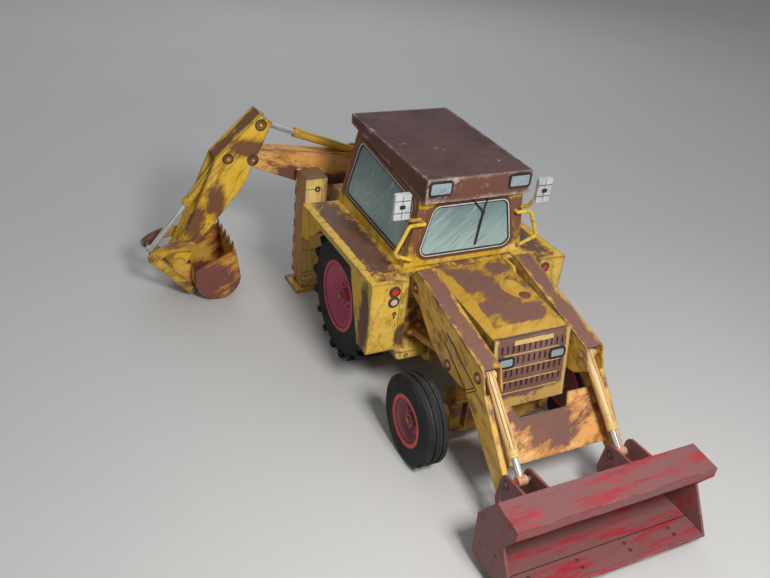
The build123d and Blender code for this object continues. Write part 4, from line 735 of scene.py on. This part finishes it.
def outlines(name, facing):
    """The closed outlines of a node's flat faces that look one way."""
    form = bmesh.new()
    form.from_mesh(nodes[name].data)
    bmesh.ops.remove_doubles(form, verts=form.verts, dist=1e-6)
    kept = {face for face in form.faces if face.normal.dot(Vector(facing)) > 0.9}
    rim = [edge for edge in form.edges if sum(face in kept for face in edge.link_faces) == 1]
    loops = []
    while rim:
        loop = list(rim.pop().verts)
        step = next((edge for edge in rim if loop[-1] in edge.verts), None)
        while step is not None:
            rim.remove(step)
            loop.append(step.other_vert(loop[-1]))
            step = next((edge for edge in rim if loop[-1] in edge.verts), None)
        loops.append([vertex.co / MM for vertex in loop[:-1]])
    normal = sum((face.normal * face.calc_area() for face in kept), Vector()).normalized()
    form.free()
    return loops, normal


def band(form, loop, normal, profile, kinds=None):
    """A raised strip round a closed outline, from (distance outwards, height) points across it."""
    count = len(loop)
    spokes = [point - loop[0] for point in loop]
    swept = sum((spokes[i].cross(spokes[(i + 1) % count]) for i in range(count)), Vector())
    outwards = 1 if swept.dot(normal) > 0 else -1
    rows = []
    for offset, height in profile:
        row = []
        for i, point in enumerate(loop):
            before = (point - loop[i - 1]).normalized().cross(normal)
            after = (loop[(i + 1) % count] - point).normalized().cross(normal)
            out = (before + after).normalized()
            reach = outwards * offset / max(0.5, out.dot(before))
            row.append(form.verts.new((point + reach * out + height * normal) * MM))
        rows.append(row)
    for k in range(len(rows)):
        first, second = rows[k], rows[(k + 1) % len(rows)]
        for i in range(count):
            face = form.faces.new([first[i], first[(i + 1) % count], second[(i + 1) % count], second[i]])
            face.material_index = kinds[k] if kinds else 0


def piece(name, body, paints, build):
    """A small piece of the scene on one body, built by a function that fills its mesh."""
    form = bmesh.new()
    build(form)
    bmesh.ops.recalc_face_normals(form, faces=form.faces)
    mesh = bpy.data.meshes.new(name)
    form.to_mesh(mesh)
    form.free()
    thing = bpy.data.objects.new(name, mesh)
    bpy.context.scene.collection.objects.link(thing)
    for paint in paints:
        mesh.materials.append(paint.material)
    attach(thing, body)
    return thing


black = print_paper("black_ink", srgb(38, 34, 32), srgb(54, 48, 44), 0.2, 0.5)
white = print_paper("white_paper", srgb(208, 206, 198), srgb(182, 182, 176), 0.3, 0.5)
brown = print_paper("brown_frame", srgb(124, 78, 58), srgb(100, 62, 50), 0.5, 0.55)
cream = print_paper("cream_paper", srgb(212, 186, 118), srgb(196, 164, 92), 0.4, 0.55)
dark_rust = print_paper("dark_rust", srgb(92, 62, 54), srgb(70, 48, 42), 0.4, 0.6)
red_card = print_paper("red_nut", srgb(196, 92, 98), srgb(160, 70, 78), 0.5, 0.5)
gold = print_paper("yellow_trim", srgb(204, 160, 52), srgb(176, 128, 44), 0.5, 0.55)

# Rings of black, white, black and brown round each pane
SEAL_PROFILE = [(-0.9, SINK), (-0.9, 0.45), (-0.45, 0.6), (0.05, 0.6), (0.5, 0.55), (1.5, 0.5), (1.5, SINK)]
SEAL_KINDS = [0, 0, 1, 0, 2, 2, 0]


def seal(name, pane, facings):
    """The printed rubber seal round the panes of one node."""
    def build(form):
        for facing in facings:
            loops, normal = outlines(pane, facing)
            for loop in loops:
                band(form, loop, normal, SEAL_PROFILE, SEAL_KINDS)
    piece(name, "chassis", [black, white, brown], build)


seal("windscreen_seal", "windscreen", [(0, -1, 0)])
seal("side_window_seals", "side_windows", [(-1, 0, 0), (1, 0, 0)])
seal("rear_window_seal", "rear_window", [(0, 1, 0)])


def wiper(form):
    """Two struts that meet in a knuckle above the blade."""
    y = WIPER_Y
    knuckle = (5.9, y, 83.8)
    button = [(0, 0.9), (0.55, 0.9), (0.7, 0.6), (0.7, SINK), (0, SINK)]
    for top in ((0.2, y, 89.4), (6.8, y, 89.2)):
        tube(form, [top, knuckle], 0.32, (0, 1, 0))
        turned(form, (top[0], SCREEN_Y, top[2]), (0, -1, 0), button, 12)
    tube(form, [knuckle, (5.3, y, 77.5), (4.6, y + 0.2, 69.1)], 0.42, (0, 1, 0))
    turned(form, knuckle, (0, -1, 0), [(0, 0.6), (0.5, 0.6), (0.7, 0.3), (0.7, -0.4), (0, -0.4)], 12)
    strip(form, (5.5, y + 0.25, 80.2), (4.6, y + 0.25, 68.6), (0, 1, 0), 0.9, 0.25)


piece("wiper", "chassis", [black], wiper)


def lamp_frames(pane, facing):
    """Double frames round flat lamps."""
    def build(form):
        loops, normal = outlines(pane, facing)
        for loop in loops:
            band(form, loop, normal, [(-0.3, -0.2), (-0.3, 0.2), (0.5, 0.25), (0.5, -0.6)])
    return build


grille_face = (0, -(GRILLE_TOP[1] - GRILLE_LOW[1]), GRILLE_TOP[0] - GRILLE_LOW[0])
grille_out = Vector(grille_face).normalized()
piece("headlamp_bezels", "chassis", [black], lamp_frames("headlamps", grille_out))
piece("roof_lamp_frames", "chassis", [black], lamp_frames("roof_lamps", (0, -1, 0)))


def on_grille(x, z):
    """A point on the leaning front face of the grille."""
    share = (z - GRILLE_LOW[1]) / (GRILLE_TOP[1] - GRILLE_LOW[1])
    return Vector((x, GRILLE_LOW[0] + share * (GRILLE_TOP[0] - GRILLE_LOW[0]), z))


def grille_lines(form):
    """Four narrow cream lines and the blank plate above them."""
    for z, half in ((52.2, 12.6), (46.6, 13.4), (41.2, 13.4), (36.4, 13.4)):
        strip(form, on_grille(-half, z), on_grille(half, z), grille_face, 0.5, 0.15)
    strip(form, on_grille(-8.5, 56.9), on_grille(9.5, 56.9), grille_face, 2.2, 0.2)


piece("grille_lines", "chassis", [cream], grille_lines)


def filler_cap(form):
    """The round cap on the bonnet: a rim, a groove and a small knob."""
    share = (CAP_Y - HOOD_REAR[0]) / (HOOD_FRONT[0] - HOOD_REAR[0])
    y, z = between((*HOOD_REAR, 0), (*HOOD_FRONT, 0), share)[:2]
    normal = (0, HOOD_FRONT[1] - HOOD_REAR[1], HOOD_REAR[0] - HOOD_FRONT[0])
    knob = [(0, 0.5), (0.5, 0.5), (0.7, 0.25), (1.7, 0.2), (1.75, SINK), (0, SINK)]
    washer(form, (CAP_X, y, z), normal, 1.75, 2.4, 0.35)
    turned(form, (CAP_X, y, z), normal, knob)


piece("filler_cap", "chassis", [brown], filler_cap)


def lamp_rings(form):
    """Dark rings round the red and white lamps, and a lock plate below them."""
    for side in SIDES:
        for z in (57.9, 53.2):
            washer(form, (side * 36.1, GUARD_FRONT, z), (0, -1, 0), 1.5, 2.5, 0.65)
        lock = side * 35.2
        washer(form, (lock, GUARD_FRONT, 47.4), (0, -1, 0), 0.35, 0.9, 0.25)
        strip(form, (lock, GUARD_FRONT, 46.7), (lock, GUARD_FRONT, 45.2), (0, -1, 0), 0.7, 0.2)


piece("guard_lamp_rings", "chassis", [dark_rust], lamp_rings)


def guard_seams(form):
    """The pen line where each guard box meets the body side."""
    for side in SIDES:
        x = side * 33.2
        strip(form, (x, GUARD_FRONT, 61.4), (x, GUARD_FRONT, 30.2), (0, -1, 0), 0.25, 0.05)


piece("guard_seams", "chassis", [black], guard_seams)


def mirror_brackets(form):
    """Clips and pen lines on the mirror heads."""
    low, high = [corner / MM for corner in map(Vector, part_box("mirrors"))]
    y = low.y
    for side in SIDES:
        x = side * (high.x - 3.5)
        for z in (88.6, 93.6):
            strip(form, (x - 3.3, y, z), (x + 3.3, y, z), (0, -1, 0), 0.35, 0.08)
        strip(form, (x, y, 86.0), (x, y, 96.2), (0, -1, 0), 0.3, 0.06)
        strip(form, (x - 1.2, y, 91.1), (x + 1.2, y, 91.1), (0, -1, 0), 1.6, 0.45)


piece("mirror_brackets", "chassis", [black], mirror_brackets)


def step_rings(form):
    """A small printed ring on each step's front."""
    low, high = [corner / MM for corner in map(Vector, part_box("cab_steps"))]
    for side in SIDES:
        washer(form, (side * 29.0, low.y, (low.z + high.z) / 2), (0, -1, 0), 0.5, 0.95, 0.15)


piece("step_rings", "chassis", [black], step_rings)


def column_trim(form):
    """A ring with pen lines on the front of each stabiliser column, and lines across its foot."""
    y = COLUMN_FRONT
    for side in SIDES:
        x = side * 29.6
        washer(form, (x, y, 57.4), (0, -1, 0), 0.6, 1.5, 0.3)
        strip(form, (x + side * 1.5, y, 57.6), (side * COLUMN_OUT, y, 57.6), (0, -1, 0), 0.3, 0.08)
        strip(form, (x - side * 2.4, y, 57.6), (x - side * 2.4, y, 50.0), (0, -1, 0), 0.3, 0.08)
        for z in (9.2, 11.0, 24.0):
            strip(form, (side * 25.0, y, z), (side * 35.6, y, z), (0, -1, 0), 0.3, 0.08)


piece("column_trim", "chassis", [dark_rust], column_trim)


def arm_panels(form):
    """The blank panel on the side of each loader arm, inside two pen lines."""
    corners = [(-73.5, 53.6), (-72.6, 49.4), (-90.0, 40.4), (-95.0, 45.0)]
    for side in SIDES:
        for grow in (0.0, 1.3):
            centre = sum((Vector((0, *c)) for c in corners), Vector()) / len(corners)
            loop = []
            for corner in corners:
                out = Vector((0, *corner)) - centre
                loop.append(Vector((side * ARM_FACE, 0, 0)) + centre + out * (1 + grow / out.length))
            line = [(-0.16, SINK), (-0.16, 0.1), (0.16, 0.1), (0.16, SINK)]
            band(form, loop, Vector((side, 0, 0)), line)


piece("arm_panels", "loader_arms_body", [black], arm_panels)


def plate(form, outline, normal, low, high):
    """A flat piece of card over an outline, from one height to another."""
    normal = Vector(normal).normalized()
    rows = []
    for height in (low, high):
        rows.append([form.verts.new((Vector(point) + height * normal) * MM) for point in outline])
    count = len(outline)
    for i in range(count):
        form.faces.new([rows[0][i], rows[0][(i + 1) % count], rows[1][(i + 1) % count], rows[1][i]])
    form.faces.new(rows[0])
    form.faces.new(rows[1])


def arm_tops(form):
    """The folded strip along the top of each loader arm."""
    crown, front = (0, *ARM_CROWN), (0, *ARM_FRONT)
    normal = (0, front[2] - crown[2], crown[1] - front[1])
    start, end = between(crown, front, 0.04), between(crown, front, 0.99)
    for side in SIDES:
        inner, outer = Vector((side * 18.95, 0, 0)), Vector((side * (ARM_FACE + 0.05), 0, 0))
        plate(form, [start + inner, start + outer, end + outer, end + inner], normal, -0.5, 0.15)


piece("arm_tops", "loader_arms_body", [arm_card], arm_tops)


def arm_washers(form):
    """Dark card rings round the pins in the loader arms."""
    for side in SIDES:
        for pin in (ARM_PIVOT, LIFT_EYE, TILT_BASE):
            washer(form, (side * ARM_FACE, *pin), (side, 0, 0), 1.05, 2.3, 0.3)


piece("arm_washers", "loader_arms_body", [brown], arm_washers)


def bucket_bolts(form):
    """Four pairs of bolts along the cutting edge, and one on each cheek."""
    for x in (-31, -10.5, 10.5, 31):
        for y in (-148.6, -151.8):
            bolt(form, (x, y, CUTTING_EDGE_TOP), (0, 0, 1), 0.75, 0.4)
    for side in SIDES:
        bolt(form, (side * 42.5, -143.0, 15.0), (side, 0, 0), 0.8, 0.05, 10)


def lug_rings(form):
    """Dark rings round the pins in the bucket's lugs."""
    for side in SIDES:
        for x, way in ((LUG_OUTER_FACE, side), (LUG_INNER_FACE, side), (LUG_INNER_BACK, -side)):
            washer(form, (side * x, *TILT_EYE), (way, 0, 0), 1.05, 1.9, 0.15)


piece("bucket_bolts", "loader_bucket_body", [dark_rust], bucket_bolts)
piece("lug_rings", "loader_bucket_body", [dark_rust], lug_rings)


def collars(barrels, radius, rod):
    """Gland rings round the mouths of rams, with a band further back."""
    def build(form):
        for base, eye, length in barrels:
            base, eye = Vector(base), Vector(eye)
            axis = (eye - base).normalized()
            for start, end, proud in ((length - 3.0, length + 0.2, 0.22), (length - 6.2, length - 5.6, 0.16)):
                inner, edge, outer = rod + 0.25, radius + proud * 0.4, radius + proud
                profile = [(inner, start), (edge, start), (outer, start + 0.25),
                           (outer, end - 0.25), (edge, end), (inner, end)]
                turned(form, base, axis, profile, 18)
    return build


tilt_rams = [((side * TILT_X, *TILT_BASE), (side * TILT_X, *TILT_EYE), 30.0) for side in SIDES]
lift_rams = [((side * LIFT_X, *LIFT_BASE), (side * LIFT_X, *LIFT_EYE), 28.0) for side in SIDES]
piece("tilt_collars", "tilt_barrel_body", [cream], collars(tilt_rams, 2.0, 1.3))
piece("lift_collars", "lift_barrel_body", [cream], collars(lift_rams, 1.8, 1.1))
for ram, (base, eye, length) in HOE_RAMS.items():
    piece(f"{ram}_collar", f"{ram}_barrel_body", [gold],
          collars([(hoe(*base), hoe(*eye), length)], 2.2, 1.4))


def bosses(places, half):
    """Printed bosses round pins on both sides of the hoe."""
    def build(form):
        for s, z, outer in places:
            for way in SIDES:
                washer(form, hoe(s, z, way * half), (0, way, 0), outer - 0.9, outer, 0.3)
                washer(form, hoe(s, z, way * half), (0, way, 0), outer - 1.7, outer - 1.2, 0.2)
    return build


piece("dipper_bosses", "dipper_body", [dark_rust],
      bosses([(*BOOM_PIN, 2.9), (*HOE_RAMS["dipper"][1], 2.9), (*HOE_RAMS["bucket"][0], 2.7)], DIPPER_HALF))


def wheel_nuts(name, body, side, face, hub, depth, circle, count):
    """Nuts on a wheel's dish and a ring round its hub."""
    def build(form):
        for i in range(count):
            turn = 2 * pi * (i + 0.5) / count
            place = (side * (face - depth), hub[0] + circle * cos(turn), hub[1] + circle * sin(turn))
            bolt(form, place, (side, 0, 0), 0.8, 0.7)
        washer(form, (side * (face - depth / 2), *hub), (side, 0, 0), 1.8, 2.7, 0.3)
    piece(name, body, [red_card], build)


for side, side_name in ((-1, "right"), (1, "left")):
    wheel_nuts(f"rear_nuts_{side_name}", f"rear_wheel_{side_name}", side, REAR_FACE,
               (0, REAR_HUB), REAR_DISH, REAR_NUT_CIRCLE, 8)
    wheel_nuts(f"front_nuts_{side_name}", f"front_wheel_{side_name}", side, FRONT_FACE,
               (-WHEELBASE, FRONT_HUB), FRONT_DISH, FRONT_NUT_CIRCLE, 6)

add_camera()
add_studio()
